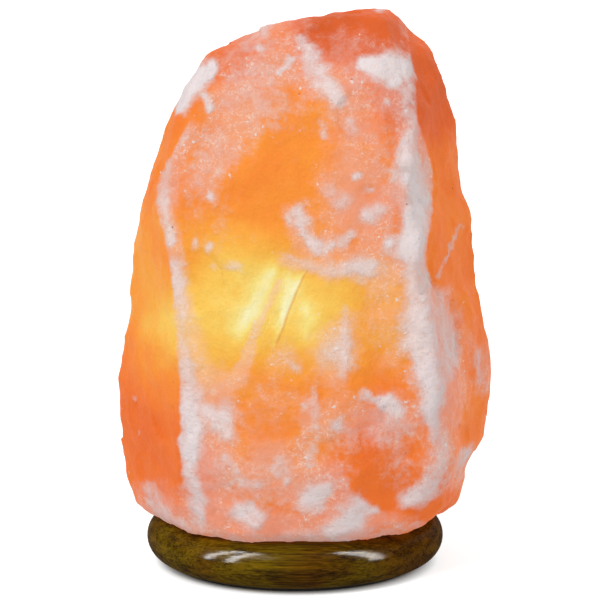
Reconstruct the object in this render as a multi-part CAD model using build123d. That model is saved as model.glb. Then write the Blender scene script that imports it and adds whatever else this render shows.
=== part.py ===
from build123d import *
from math import cos, pi, radians, sin, sqrt
import os

# A salt crystal lamp: a hewn block of rock salt, bored from below and screwed to a turned
# hardwood base. A light unit clips up into the bore: a pressed steel plate with two sprung wire
# wings, a small screw lampholder on a hollow nipple, and a tubular bulb.
# Millimetres. +Z is up, the origin is on the base's axis at the surface the lamp stands on,
# the front of the lamp faces -Y, and the cord would leave at the back, along +Y.

os.makedirs("parts", exist_ok=True)

# ---------------------------------------------------------------- clearances
fit_clearance = 0.05        # radial, pieces pushed or screwed together
running_clearance = 0.10    # radial, a wire end turning in its lug
slide_clearance = 0.40      # radial, the light unit passing through the base
seat_clearance = 0.20       # under the face that stops the light unit
thread_clearance = 0.23     # radial, bulb thread crest to the wall of the screw shell
contact_clearance = 0.10    # between the bulb's contact and the sprung tongue
wing_clearance = 0.30       # between the wire wings and the wall of the bore

# ---------------------------------------------------------------- non-slip ring
ring_outer_radius = 50.0
ring_width = 5.5
ring_thickness = 1.5

# ---------------------------------------------------------------- turned base
base_diameter = 120.0
base_thickness = 18.0
plate_recess_depth = 10.0
cord_groove_width = 7.5
cord_groove_depth = 7.0

# ---------------------------------------------------------------- salt crystal
bore_diameter = 50.0
bore_headroom = 15.0        # above the bulb when it is screwed right out

# Heights of the courses of facets above the base, from the sawn foot to the crown.
course_heights = (0, 5, 14, 30, 55, 84, 112, 136, 158, 174, 187, 196, 203)

# The rough arrises that run up the block, in order round it, each as a few points
# (height above the base, x, y). Between its points an arris is straight.
arrises = {
    "right": (
        (0, 57, 6), (5, 65, 4), (14, 68, 4), (30, 74.5, 3), (55, 78, 4), (84, 75.5, 3),
        (112, 71, 5), (136, 66.5, 6), (158, 64, 5), (174, 59, 4), (187, 54.5, 5),
        (196, 45, 4), (203, 38, 4),
    ),
    "back_right": (
        (0, 43, 38), (5, 50, 44), (30, 60, 50), (84, 57, 49), (136, 51, 40),
        (174, 45, 27), (203, 36, 9),
    ),
    "back_middle_right": (
        (0, 14, 50), (5, 16, 56), (30, 21, 62), (84, 23, 60), (136, 20, 50),
        (174, 21, 35), (203, 29, 10),
    ),
    "back_middle_left": (
        (0, -20, 48), (5, -23, 55), (30, -27, 60), (84, -24, 61), (136, -22, 52),
        (174, -12, 36), (203, 21, 9),
    ),
    "back_left": (
        (0, -44, 32), (5, -51, 36), (30, -59, 41), (84, -54, 42), (136, -48, 33),
        (174, -33, 22), (203, 16, 6),
    ),
    "left": (
        (0, -56, -4), (5, -63.5, -5), (14, -66.5, -6), (30, -69.5, -6), (55, -70.2, -8),
        (84, -65.5, -7), (112, -63.5, -8), (136, -57, -6), (158, -49.5, -7), (174, -42, -5),
        (187, -32.5, -5), (196, -15, -3), (203, 14, 0),
    ),
    "front_left": (
        (0, -39, -37), (5, -43, -44), (30, -44.5, -50), (84, -45.5, -50), (112, -48.5, -47),
        (136, -50, -41), (158, -46, -34), (174, -41, -28), (187, -33, -21), (203, 15, -5),
    ),
    "front_middle_left": (
        (0, -15, -49), (5, -16, -56), (30, -17, -61), (84, -17, -59), (112, -18, -57),
        (136, -17, -51), (158, -14, -42), (174, -11, -34), (203, 19, -9),
    ),
    "front_middle_right": (
        (0, 18, -48), (5, 20, -55), (30, 23, -60), (55, 22, -62), (112, 18, -56),
        (136, 16, -51), (158, 16, -44), (174, 17, -36), (203, 27, -12),
    ),
    "front_right": (
        (0, 42, -36), (5, 50, -41), (14, 57, -45), (30, 61, -49), (55, 58, -52), (84, 51.5, -53),
        (112, 48, -50), (136, 45.5, -45), (158, 43.5, -39), (174, 41.5, -33), (187, 40, -26),
        (203, 35, -11),
    ),
}

# Flats that the hammer left, as (bearing, lean, distance): the bearing turns from the right
# (0) through the back (90), the lean is above the level, and the distance is from the heart.
heart_height = 95.0
hewn_flats = (
    (45, 10, 67.0),
    (75, -12, 73.5),
    (80, 25, 64.5),
    (115, 40, 74.0),
    (130, -15, 79.0),
    (150, 30, 70.5),
    (30, -25, 92.0),
    (-140, 20, 73.0),
    (-125, -20, 84.5),
    (-60, 25, 75.0),
    (-50, -25, 95.0),
    (-35, 0, 75.5),
)

# Shallow hollows where flakes came away, each pressed in by a ball, as (bearing, height above
# the base, ball radius, depth). The front's are the flattest, as its faces are nearly smooth.
flake_hollows = (
    (-131, 154, 60, 1.3), (-88, 170, 90, 1.1), (-60, 162, 70, 1.2), (-114, 134, 110, 1.2),
    (-71, 130, 60, 1.2), (-118, 87, 140, 1.2), (-80, 95, 100, 1.2), (-57, 95, 60, 1.1),
    (-116, 44, 70, 1.3), (-97, 48, 80, 1.2), (-70, 48, 90, 1.4), (-53, 36, 60, 1.3),
    (-106, 16, 60, 1.2), (-80, 16, 60, 1.2), (-158, 154, 60, 1.3), (-156, 115, 90, 1.3),
    (-158, 67, 80, 1.3), (-155, 32, 60, 1.3), (-16, 177, 50, 1.2), (-21, 142, 80, 1.3),
    (-21, 103, 70, 1.4), (-20, 64, 70, 1.4), (-22, 32, 60, 1.4),
    (10, 20, 50, 1.5), (38, 20, 60, 1.6), (66, 20, 55, 1.5), (95, 20, 60, 1.6),
    (124, 20, 55, 1.5), (152, 20, 60, 1.5), (180, 20, 55, 1.5),
    (24, 48, 70, 1.8), (52, 48, 60, 1.7), (82, 48, 75, 1.9), (110, 48, 60, 1.8),
    (138, 48, 70, 1.8), (168, 48, 60, 1.6),
    (8, 78, 60, 1.6), (38, 78, 75, 1.9), (67, 78, 60, 1.8), (97, 78, 70, 2.0),
    (126, 78, 60, 1.8), (155, 78, 70, 1.8),
    (24, 106, 65, 1.8), (53, 106, 60, 1.7), (84, 106, 75, 2.0), (113, 106, 60, 1.8),
    (142, 106, 65, 1.8), (174, 106, 60, 1.6),
    (5, 134, 60, 1.6), (38, 134, 70, 1.8), (72, 134, 60, 1.8), (105, 134, 70, 1.9),
    (138, 134, 60, 1.7), (168, 134, 65, 1.6),
    (22, 160, 60, 1.6), (60, 160, 60, 1.7), (98, 160, 60, 1.8), (135, 160, 60, 1.7),
    (172, 160, 50, 1.5), (50, 182, 50, 1.5), (100, 182, 50, 1.5), (150, 182, 45, 1.5),
)

# ---------------------------------------------------------------- crystal fixings
screw_count = 3
screw_circle_radius = 38.0
screw_first_angle = 30.0
screw_shank_diameter = 4.0
screw_length = 28.0
screw_head_diameter = 8.0
screw_head_height = 2.6
screw_recess_width = 1.0
screw_recess_depth = 1.6
counterbore_depth = 6.5
washer_thickness = 0.8
washer_margin = 1.0         # beyond the screw's head
plug_wall = 2.0
plug_length = 24.0
plug_hole_spare = 1.0       # drill point above the plug

# ---------------------------------------------------------------- light unit: plate and wings
plate_thickness = 1.2
plate_seat_width = 4.0      # how far the plate laps past the edge of the bore
lug_thickness = 1.0
lug_width = 5.0
lug_hole_height = 4.0
lug_gap = 1.0               # between the lugs and the lampholder
wing_wire_diameter = 1.6
wing_height = 30.0
wing_half_width = 8.0
wing_bend_radius = 2.4

# ---------------------------------------------------------------- light unit: nipple and nuts
nipple_outer_diameter = 10.0
nipple_bore_diameter = 7.0
nipple_overhang = 0.5       # past the nut at each end
nut_across_flats = 14.0
nut_height = 3.0

# ---------------------------------------------------------------- light unit: lampholder
holder_outer_diameter = 28.0
holder_wall = 1.7
holder_rib_count = 24
holder_rib_depth = 0.4
cap_height = 14.0
cap_floor = 2.5
spigot_height = 4.0
block_floor = 4.0
block_spare = 0.5           # block above the screw shell
lip_height = 2.0
mouth_clearance = 1.0
terminal_width = 4.0
terminal_thickness = 0.6
terminal_drop = 5.0         # below the contact block
terminal_screw_diameter = 2.2
terminal_screw_length = 4.0
terminal_head_diameter = 3.8
terminal_head_height = 1.2
shell_height = 20.0
shell_wall = 0.6
shell_ridge_radius = 0.55
tongue_reach = 4.5          # from the tongue's root to the bulb's axis
tongue_tip = 1.6            # past the bulb's axis
tongue_rise = 3.4
tongue_thickness = 0.5
tongue_root_height = 1.0
root_clearance = 0.15       # under the sprung tongue, where it bends

# ---------------------------------------------------------------- bulb
thread_pitch = 2.822
thread_root_radius = 6.12
thread_ridge_radius = 0.80
thread_turns = 4.2
thread_margin = 1.2         # plain cap below the first turn
unscrewing_turns = 4
bulb_contact_radius = 2.4
bulb_contact_height = 1.2
insulator_height = 3.5
insulator_foot_margin = 0.6
insulator_plug_height = 2.0
bulb_cap_height = 16.0
bulb_cap_wall = 0.35
glass_diameter = 25.0
glass_length = 64.0         # above the brass cap
glass_wall = 0.6
glass_neck_margin = 0.45    # between the neck and the inside of the cap
glass_neck_depth = 3.0
glass_shoulder_height = 10.0
stem_radius = 2.2
stem_height = 22.0
stem_flare_thickness = 1.0
lead_diameter = 0.6
lead_foot_spread = 1.3
lead_spread = 7.0
lead_height = 22.0
filament_diameter = 0.5
filament_rise = 3.0
inner_gap = 0.1             # between the small wires inside the bulb

# ---------------------------------------------------------------- sizes that follow
base_radius = base_diameter / 2
base_bottom = ring_thickness
base_top = base_bottom + base_thickness
bore_radius = bore_diameter / 2
plate_radius = bore_radius + plate_seat_width
recess_radius = plate_radius + slide_clearance
recess_top = base_bottom + plate_recess_depth

screw_hole_radius = screw_shank_diameter / 2 + fit_clearance
washer_radius = screw_head_diameter / 2 + washer_margin
counterbore_radius = washer_radius + fit_clearance
screw_seat = base_bottom + counterbore_depth - washer_thickness
plug_radius = screw_hole_radius + plug_wall

plate_top = recess_top - seat_clearance
plate_bottom = plate_top - plate_thickness
nipple_radius = nipple_outer_diameter / 2
nipple_hole_radius = nipple_radius + fit_clearance
lower_nut_bottom = plate_bottom - nut_height
upper_nut_bottom = plate_top + cap_floor
nipple_bottom = lower_nut_bottom - nipple_overhang
nipple_top = upper_nut_bottom + nut_height + nipple_overhang

holder_radius = holder_outer_diameter / 2
spigot_radius = holder_radius - holder_wall / 2
cap_top = plate_top + cap_height
skirt_bottom = cap_top - spigot_height
well_floor = cap_top + block_floor
block_top = well_floor + shell_height + block_spare
shell_inner_radius = thread_root_radius + thread_ridge_radius + thread_clearance
shell_outer_radius = shell_inner_radius + shell_wall
well_radius = shell_outer_radius + fit_clearance
mouth_radius = shell_outer_radius + mouth_clearance

lug_x = holder_radius + lug_gap + lug_width / 2
lug_y = wing_half_width - wing_bend_radius - wing_wire_diameter
wing_pivot_z = plate_top + lug_hole_height
wing_wire_radius = wing_wire_diameter / 2
wing_reach = bore_radius - wing_clearance - wing_wire_radius
wing_top_x = sqrt(wing_reach**2 - wing_half_width**2)

tongue_root_z = well_floor + tongue_root_height
tongue_top = well_floor + tongue_rise
bulb_bottom = tongue_top + contact_clearance
insulator_bottom = bulb_bottom + bulb_contact_height
bulb_cap_bottom = insulator_bottom + insulator_height
bulb_cap_top = bulb_cap_bottom + bulb_cap_height
bulb_cap_inner_radius = thread_root_radius - bulb_cap_wall
bulb_top = bulb_cap_top + glass_length
thread_start = bulb_cap_bottom + thread_margin
glass_neck_radius = bulb_cap_inner_radius - glass_neck_margin
unscrewing_rise = unscrewing_turns * thread_pitch
bore_top = bulb_top + unscrewing_rise + bore_headroom


def disc(radius, bottom, height):
    """A plain disc on the lamp's axis, standing on the given height."""
    return Pos(0, 0, bottom + height / 2) * Cylinder(radius, height)


def tube(outer, inner, bottom, height):
    """A straight tube on the lamp's axis, standing on the given height."""
    return disc(outer, bottom, height) - disc(inner, bottom, height)


def around(count, radius, first_angle):
    """Places at even steps on a circle round the lamp's axis."""
    for index in range(count):
        angle = radians(first_angle + index * 360 / count)
        yield Pos(radius * cos(angle), radius * sin(angle), 0)


def revolved(points):
    """A solid of revolution about the lamp's axis, from (radius, height) points."""
    outline = make_face(Polyline(*[(r, 0, z) for r, z in points], close=True))
    return revolve(outline, axis=Axis.Z)


def round_wire(path, diameter):
    """A round wire along a path."""
    return sweep(Plane(origin=path @ 0, z_dir=path % 0) * Circle(diameter / 2), path=path)


def thread_ridge(radius, ridge_radius, start, length):
    """A rounded right-hand thread ridge, wound on the given radius."""
    helix = Pos(0, 0, start) * Helix(thread_pitch, length, radius)
    section = Plane(origin=helix @ 0, z_dir=helix % 0) * Circle(ridge_radius)
    return sweep(section, path=helix, is_frenet=True)


# ---------------------------------------------------------------- stand
def make_non_slip_ring():
    """A ring stuck under the base, cut away where the cord groove crosses it."""
    ring = tube(ring_outer_radius, ring_outer_radius - ring_width, 0, ring_thickness)
    return ring - Pos(0, ring_outer_radius, ring_thickness / 2) * Box(
        cord_groove_width, 3 * ring_width, ring_thickness
    )


def make_wood_base():
    """A lathe-turned disc with a full-round edge, recessed below for the light unit."""
    edge_radius = base_thickness / 2
    flat_radius = base_radius - edge_radius
    lower_rim = (flat_radius, 0, base_bottom)
    widest = (base_radius, 0, base_bottom + edge_radius)
    upper_rim = (flat_radius, 0, base_top)
    outline = Polyline(lower_rim, (0, 0, base_bottom), (0, 0, base_top), upper_rim)
    outline += ThreePointArc(lower_rim, widest, upper_rim)
    base = revolve(make_face(outline), axis=Axis.Z)
    base -= disc(bore_radius, base_bottom, base_thickness)
    base -= disc(recess_radius, base_bottom, plate_recess_depth)
    base -= Pos(0, base_radius / 2, base_bottom + cord_groove_depth / 2) * Box(
        cord_groove_width, base_radius, cord_groove_depth
    )
    for place in around(screw_count, screw_circle_radius, screw_first_angle):
        base -= place * disc(screw_hole_radius, base_bottom, base_thickness)
        base -= place * disc(counterbore_radius, base_bottom, counterbore_depth)
    return base


def arris_point(points, height):
    """The point where an arris passes a height."""
    for (low, low_x, low_y), (high, high_x, high_y) in zip(points, points[1:]):
        if height <= high:
            share = (height - low) / (high - low)
            break
    x = low_x + share * (high_x - low_x)
    y = low_y + share * (high_y - low_y)
    return Vector(x, y, base_top + height)


def make_hewn_block():
    """The block before it is bored: facets, with the hammer's flats and hollows cut in them."""
    courses = [
        [arris_point(points, height) for points in arrises.values()] for height in course_heights
    ]
    count = len(arrises)
    facets = [courses[0], courses[-1]]
    for number, (lower, upper) in enumerate(zip(courses, courses[1:])):
        for here in range(count):
            after = (here + 1) % count
            if (here + number) % 2:
                facets.append([lower[here], lower[after], upper[after]])
                facets.append([lower[here], upper[after], upper[here]])
            else:
                facets.append([lower[here], lower[after], upper[here]])
                facets.append([lower[after], upper[after], upper[here]])
    faces = [make_face(Polyline(*facet, close=True)).face() for facet in facets]
    block = Solid(Shell(faces))
    heart = Vector(0, 0, base_top + heart_height)
    beyond = block.bounding_box().diagonal
    for bearing, lean, distance in hewn_flats:
        outward = Vector(1, 0, 0).rotate(Axis.Y, -lean).rotate(Axis.Z, bearing)
        flat = Plane(origin=heart + outward * distance, z_dir=outward)
        block -= flat * Pos(0, 0, beyond / 2) * Box(beyond, beyond, beyond)
    balls = []
    for bearing, height, radius, depth in flake_hollows:
        ray = Axis((0, 0, base_top + height), Vector(1, 0, 0).rotate(Axis.Z, bearing))
        place, outward = max(block.find_intersection_points(ray), key=lambda hit: hit[0].length)
        balls.append(Pos(place + outward * (radius - depth)) * Sphere(radius))
    return block - balls


def make_salt_crystal():
    """The hewn block with its bore for the light unit and three blind holes for plugs."""
    crystal = make_hewn_block() - disc(bore_radius, base_top, bore_top - base_top)
    hole = disc(plug_radius + fit_clearance, base_top, plug_length + plug_hole_spare)
    for place in around(screw_count, screw_circle_radius, screw_first_angle):
        crystal -= place * hole
    return crystal


def make_screw_plugs():
    """Plugs in the salt that the screws bite into."""
    plug = tube(plug_radius, screw_hole_radius, base_top, plug_length)
    return [place * plug for place in around(screw_count, screw_circle_radius, screw_first_angle)]


def make_screw_washers():
    """Flat washers between the screw heads and the wood."""
    washer = tube(washer_radius, screw_hole_radius, screw_seat, washer_thickness)
    return [place * washer for place in around(screw_count, screw_circle_radius, screw_first_angle)]


def make_crystal_screws():
    """Pan-head screws driven up through the base, with a cross recess in each head."""
    head_bottom = screw_seat - screw_head_height
    head = disc(screw_head_diameter / 2, head_bottom, screw_head_height)
    head = fillet(head.edges().group_by(Axis.Z)[0], screw_head_height / 3)
    screw = head + disc(screw_shank_diameter / 2, screw_seat, screw_length)
    recess_span = screw_head_diameter / 2
    for width, depth in ((recess_span, screw_recess_width), (screw_recess_width, recess_span)):
        slot = Box(width, depth, screw_recess_depth)
        screw -= Pos(0, 0, head_bottom + screw_recess_depth / 2) * slot
    return [place * screw for place in around(screw_count, screw_circle_radius, screw_first_angle)]


# ---------------------------------------------------------------- plate and wings
def make_holder_plate():
    """A pressed steel disc under the bore, with a bent-up lug for each wing end."""
    plate = disc(plate_radius, plate_bottom, plate_thickness)
    plate = fillet(plate.edges().group_by(Axis.Z)[0], plate_thickness / 2)
    plate -= disc(nipple_hole_radius, plate_bottom, plate_thickness)
    lug = Pos(0, 0, plate_top + lug_hole_height / 2) * Box(lug_width, lug_thickness, lug_hole_height)
    lug += Pos(0, 0, wing_pivot_z) * Rot(90, 0, 0) * Cylinder(lug_width / 2, lug_thickness)
    hole_radius = wing_wire_radius + running_clearance
    lug -= Pos(0, 0, wing_pivot_z) * Rot(90, 0, 0) * Cylinder(hole_radius, 2 * lug_thickness)
    for x in (-lug_x, lug_x):
        for y in (-lug_y, lug_y):
            plate += Pos(x, y, 0) * lug
    return plate


def make_spring_wing(side):
    """One sprung wire loop that grips the bore, its two ends turned into a pair of lugs."""
    end_y = lug_y - lug_thickness - wing_wire_radius
    wing_top_z = wing_pivot_z + wing_height
    path = FilletPolyline(
        (side * lug_x, -end_y, wing_pivot_z),
        (side * lug_x, -wing_half_width, wing_pivot_z),
        (side * wing_top_x, -wing_half_width, wing_top_z),
        (side * wing_top_x, wing_half_width, wing_top_z),
        (side * lug_x, wing_half_width, wing_pivot_z),
        (side * lug_x, end_y, wing_pivot_z),
        radius=wing_bend_radius,
    )
    return round_wire(path, wing_wire_diameter)


# ---------------------------------------------------------------- nipple and nuts
def make_cord_nipple():
    """The hollow nipple that clamps plate and lampholder, and lets the cord in."""
    return tube(nipple_radius, nipple_bore_diameter / 2, nipple_bottom, nipple_top - nipple_bottom)


def make_nut(bottom):
    """A thin hexagon nut on the nipple."""
    hexagon = Pos(0, 0, bottom) * RegularPolygon(nut_across_flats / 2, 6, major_radius=False)
    nut = extrude(hexagon, amount=nut_height)
    return nut - disc(nipple_hole_radius, bottom, nut_height)


# ---------------------------------------------------------------- lampholder
def make_lampholder_cap():
    """The lampholder's lower cup, with a spigot that the skirt goes over."""
    cap = disc(holder_radius, plate_top, cap_height)
    cap = fillet(cap.edges().group_by(Axis.Z)[0], holder_wall)
    cap -= disc(holder_radius - holder_wall, upper_nut_bottom, cap_height - cap_floor)
    cap -= disc(nipple_hole_radius, plate_top, cap_floor)
    cap -= tube(holder_radius, spigot_radius, skirt_bottom, spigot_height)
    return cap


def make_lampholder_skirt():
    """The lampholder's upper sleeve, fluted outside; its lip holds the contact block down."""
    skirt_top = block_top + lip_height
    skirt = disc(holder_radius, skirt_bottom, skirt_top - skirt_bottom)
    skirt = fillet(skirt.edges().group_by(Axis.Z)[-1], lip_height / 2)
    skirt -= disc(spigot_radius + fit_clearance, skirt_bottom, block_top - skirt_bottom)
    skirt -= disc(mouth_radius, block_top, lip_height)
    flute = Pos(0, 0, (skirt_bottom + block_top) / 2) * Cylinder(
        holder_rib_depth, block_top - skirt_bottom - spigot_height
    )
    for place in around(holder_rib_count, holder_radius, 0):
        skirt -= place * flute
    return skirt


def terminal_place(number):
    """Where each terminal stands: the tongue's on the left, the shell's at the back."""
    if number == 0:
        return Rot(0, 0, 180) * Pos(tongue_reach, 0, 0)
    return Rot(0, 0, 90) * Pos(shell_outer_radius - terminal_thickness / 2, 0, 0)


def make_contact_block():
    """The insulating core: a well for the screw shell, and slots for both terminals."""
    block = disc(spigot_radius, cap_top, block_top - cap_top)
    block -= disc(well_radius, well_floor, block_top - well_floor)
    slot = Pos(0, 0, cap_top + block_floor / 2) * Box(
        terminal_thickness + 2 * fit_clearance, terminal_width + 2 * fit_clearance, block_floor
    )
    for number in (0, 1):
        block -= terminal_place(number) * slot
    return block


def make_terminal_strip(top):
    """A flat strip down through the block's floor, with a hole for its screw."""
    bottom = cap_top - terminal_drop
    strip = Pos(0, 0, (bottom + top) / 2) * Box(terminal_thickness, terminal_width, top - bottom)
    hole = Cylinder(terminal_screw_diameter / 2 + fit_clearance, 2 * terminal_thickness)
    return strip - Pos(0, 0, cap_top - terminal_drop / 2) * Rot(0, 90, 0) * hole


def make_screw_shell():
    """The holder's brass shell with its rolled thread, and the tail that is its terminal."""
    shell = tube(shell_outer_radius, shell_inner_radius, well_floor, shell_height)
    ridge_start = thread_start - thread_pitch / 2
    while ridge_start - thread_pitch > well_floor + shell_ridge_radius:
        ridge_start -= thread_pitch
    ridge_end = well_floor + shell_height - 2 * shell_ridge_radius
    shell += thread_ridge(
        shell_inner_radius, shell_ridge_radius, ridge_start, ridge_end - ridge_start
    )
    return shell + terminal_place(1) * make_terminal_strip(well_floor)


def make_centre_terminal():
    """The strip that carries the sprung tongue."""
    return terminal_place(0) * make_terminal_strip(tongue_root_z - root_clearance)


def make_contact_tongue():
    """The sprung tongue under the bulb's contact: it slopes up from a rolled root to a flat tip."""
    bend = -tongue_reach / 3
    low = tongue_root_z
    high = tongue_top - tongue_thickness
    under = [(-tongue_reach, low), (bend, high), (tongue_tip, high)]
    over = [(x, z + tongue_thickness) for x, z in reversed(under)]
    side = make_face(Polyline(*[(x, 0, z) for x, z in under + over], close=True))
    tongue = extrude(side, amount=terminal_width / 2, dir=(0, 1, 0), both=True)
    root_radius = tongue_thickness / 2
    root = Rot(90, 0, 0) * Cylinder(root_radius, terminal_width)
    return tongue + Pos(-tongue_reach, 0, low + root_radius) * root


def make_terminal_screws():
    """A small screw through each terminal, to clamp one conductor of the cord."""
    head_start = terminal_thickness / 2
    shank = Pos(head_start - terminal_screw_length / 2, 0, 0) * Rot(0, 90, 0) * Cylinder(
        terminal_screw_diameter / 2, terminal_screw_length
    )
    head = Pos(head_start + terminal_head_height / 2, 0, 0) * Rot(0, 90, 0) * Cylinder(
        terminal_head_diameter / 2, terminal_head_height
    )
    slot_depth = terminal_head_height / 2
    slot = Pos(head_start + terminal_head_height - slot_depth / 2, 0, 0) * Box(
        slot_depth, terminal_head_diameter, slot_depth
    )
    screw = Pos(0, 0, cap_top - terminal_drop / 2) * (shank + head - slot)
    return [terminal_place(number) * screw for number in (0, 1)]


# ---------------------------------------------------------------- bulb
def make_bulb_contact():
    """The soldered button at the foot of the bulb."""
    button = disc(bulb_contact_radius, bulb_bottom, bulb_contact_height)
    return fillet(button.edges().group_by(Axis.Z)[0], bulb_contact_height / 2)


def make_bulb_insulator():
    """The black glass cone between the button and the brass cap."""
    foot_radius = bulb_contact_radius + insulator_foot_margin
    plug_inner = bulb_cap_inner_radius - fit_clearance
    plug_top = bulb_cap_bottom + insulator_plug_height
    return revolved([
        (0, insulator_bottom),
        (foot_radius, insulator_bottom),
        (thread_root_radius, bulb_cap_bottom),
        (plug_inner, bulb_cap_bottom),
        (plug_inner, plug_top),
        (0, plug_top),
    ])


def make_bulb_cap():
    """The bulb's brass cap with its rolled thread."""
    cap = disc(thread_root_radius, bulb_cap_bottom, bulb_cap_height)
    cap += thread_ridge(
        thread_root_radius, thread_ridge_radius, thread_start, thread_turns * thread_pitch
    )
    return cap - disc(bulb_cap_inner_radius, bulb_cap_bottom, bulb_cap_height)


def bulb_body(inset):
    """The bulb's glass shape, drawn in all over by an inset."""
    neck = glass_neck_radius - inset
    wide = glass_diameter / 2 - inset
    bottom = (neck, 0, bulb_cap_top - glass_neck_depth + inset)
    neck_top = (neck, 0, bulb_cap_top)
    middle = ((neck + wide) / 2, 0, bulb_cap_top + glass_shoulder_height / 2)
    shoulder = (wide, 0, bulb_cap_top + glass_shoulder_height)
    crown = (wide, 0, bulb_top - glass_diameter / 2)
    crown_middle = (wide * cos(pi / 4), 0, crown[2] + wide * sin(pi / 4))
    tip = (0, 0, bulb_top - inset)
    sides = Polyline(tip, (0, 0, bottom[2]), bottom, neck_top)
    sides += TangentArc(neck_top, middle, tangent=(0, 0, 1))
    sides += TangentArc(shoulder, middle, tangent=(0, 0, -1))
    sides += Line(shoulder, crown)
    sides += ThreePointArc(crown, crown_middle, tip)
    return revolve(make_face(sides), axis=Axis.Z)


def make_bulb_glass():
    """The tubular glass envelope, hollow, with its neck down inside the brass cap."""
    return bulb_body(0) - bulb_body(glass_wall)


def make_bulb_stem():
    """The glass stem that holds the wires, flared where it meets the neck."""
    bottom = bulb_cap_top - glass_neck_depth + glass_wall
    flare_radius = glass_neck_radius - glass_wall - fit_clearance
    flare = disc(flare_radius, bottom, stem_flare_thickness)
    return flare + disc(stem_radius, bottom, stem_height)


def make_bulb_leads():
    """Two straight lead wires from the stem to the ends of the filament."""
    foot = bulb_cap_top - glass_neck_depth + glass_wall + stem_height + inner_gap
    leads = []
    for side in (-1, 1):
        start = (side * lead_foot_spread, 0, foot)
        end = (side * lead_spread, 0, foot + lead_height)
        leads.append(round_wire(Line(start, end), lead_diameter))
    return leads


def make_bulb_filament():
    """The filament, in two straight stretches that meet above the stem."""
    foot = bulb_cap_top - glass_neck_depth + glass_wall + stem_height + inner_gap
    ends = foot + lead_height + lead_diameter / 2 + filament_diameter / 2 + inner_gap
    path = FilletPolyline(
        (-lead_spread, 0, ends), (0, 0, ends + filament_rise), (lead_spread, 0, ends), radius=filament_rise
    )
    return round_wire(path, filament_diameter)


nodes = {
    "non_slip_ring": make_non_slip_ring(),
    "wood_base": make_wood_base(),
    "salt_crystal": make_salt_crystal(),
    "screw_plugs": make_screw_plugs(),
    "screw_washers": make_screw_washers(),
    "crystal_screws": make_crystal_screws(),
    "holder_plate": make_holder_plate(),
    "spring_wing_left": make_spring_wing(-1),
    "spring_wing_right": make_spring_wing(1),
    "cord_nipple": make_cord_nipple(),
    "lower_nipple_nut": make_nut(lower_nut_bottom),
    "upper_nipple_nut": make_nut(upper_nut_bottom),
    "lampholder_cap": make_lampholder_cap(),
    "lampholder_skirt": make_lampholder_skirt(),
    "contact_block": make_contact_block(),
    "screw_shell": make_screw_shell(),
    "centre_terminal": make_centre_terminal(),
    "contact_tongue": make_contact_tongue(),
    "terminal_screws": make_terminal_screws(),
    "bulb_contact": make_bulb_contact(),
    "bulb_insulator": make_bulb_insulator(),
    "bulb_cap": make_bulb_cap(),
    "bulb_glass": make_bulb_glass(),
    "bulb_stem": make_bulb_stem(),
    "bulb_leads": make_bulb_leads(),
    "bulb_filament": make_bulb_filament(),
}

for name, shape in nodes.items():
    if isinstance(shape, list):
        shape = Compound(children=shape)
    export_step(shape, f"parts/{name}.step")

print("bore top", round(bore_top, 1), "bulb top", round(bulb_top, 1))
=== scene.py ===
"""A salt crystal lamp with its base, its lampholder and its bulb, in metres, in the frame of the CAD model."""

import math
import bmesh
import bpy
import numpy as np
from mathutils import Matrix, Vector, noise


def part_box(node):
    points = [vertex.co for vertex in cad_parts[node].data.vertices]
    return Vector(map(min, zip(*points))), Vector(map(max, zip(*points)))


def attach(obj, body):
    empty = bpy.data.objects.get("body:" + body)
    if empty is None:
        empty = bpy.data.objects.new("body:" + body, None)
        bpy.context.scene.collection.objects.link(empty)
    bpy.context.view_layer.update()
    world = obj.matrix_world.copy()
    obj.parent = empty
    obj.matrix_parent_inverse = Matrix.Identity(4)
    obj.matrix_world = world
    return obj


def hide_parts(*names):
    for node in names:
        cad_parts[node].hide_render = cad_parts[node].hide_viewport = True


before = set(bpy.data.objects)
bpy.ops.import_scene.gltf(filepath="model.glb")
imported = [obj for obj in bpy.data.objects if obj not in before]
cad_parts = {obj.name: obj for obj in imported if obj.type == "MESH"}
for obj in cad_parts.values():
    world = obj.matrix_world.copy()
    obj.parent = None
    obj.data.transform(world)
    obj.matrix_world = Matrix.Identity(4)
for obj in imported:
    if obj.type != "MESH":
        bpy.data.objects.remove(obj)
bpy.context.view_layer.update()
MM = 0.001


# ---------------------------------------------------------------- non-slip ring
# A flat ring of black foam rubber, cut from sheet and glued under the wood base.
# Foam rubber is matt and full of fine pores, which catch a little dust.


def linear(colour):
    """The linear red, green, blue and alpha of an sRGB hex colour."""
    parts = [int(colour[i : i + 2], 16) / 255 for i in (1, 3, 5)]
    return tuple(c / 12.92 if c < 0.04045 else ((c + 0.055) / 1.055) ** 2.4 for c in parts) + (1.0,)


def join(tree, node, inputs):
    """Gives a node its inputs: values, other nodes' outputs, or nodes, which stand for their first output."""
    for name, value in inputs.items():
        if isinstance(value, bpy.types.Node):
            value = value.outputs[0]
        if isinstance(value, bpy.types.NodeSocket):
            tree.links.new(value, node.inputs[name])
        else:
            node.inputs[name].default_value = value


def add(tree, kind, inputs=None, stops=None, **settings):
    """Adds a node with its settings and links. Stops are a ramp's places and colours."""
    node = tree.nodes.new(kind)
    for name, value in settings.items():
        setattr(node, name, value)
    join(tree, node, inputs or {})
    if stops:
        elements = node.color_ramp.elements
        for place, colour in stops[1:-1]:
            elements.new(place).color = linear(colour)
        elements[0].position, elements[-1].position = stops[0][0], stops[-1][0]
        elements[0].color, elements[-1].color = linear(stops[0][1]), linear(stops[-1][1])
    return node


def new_finish(name):
    """A new material, its node tree, its shader and the place on the object, in metres."""
    material = bpy.data.materials.new(name)
    material.use_nodes = True
    tree = material.node_tree
    place = add(tree, "ShaderNodeTexCoord").outputs["Object"]
    return material, tree, tree.nodes["Principled BSDF"], place


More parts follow.
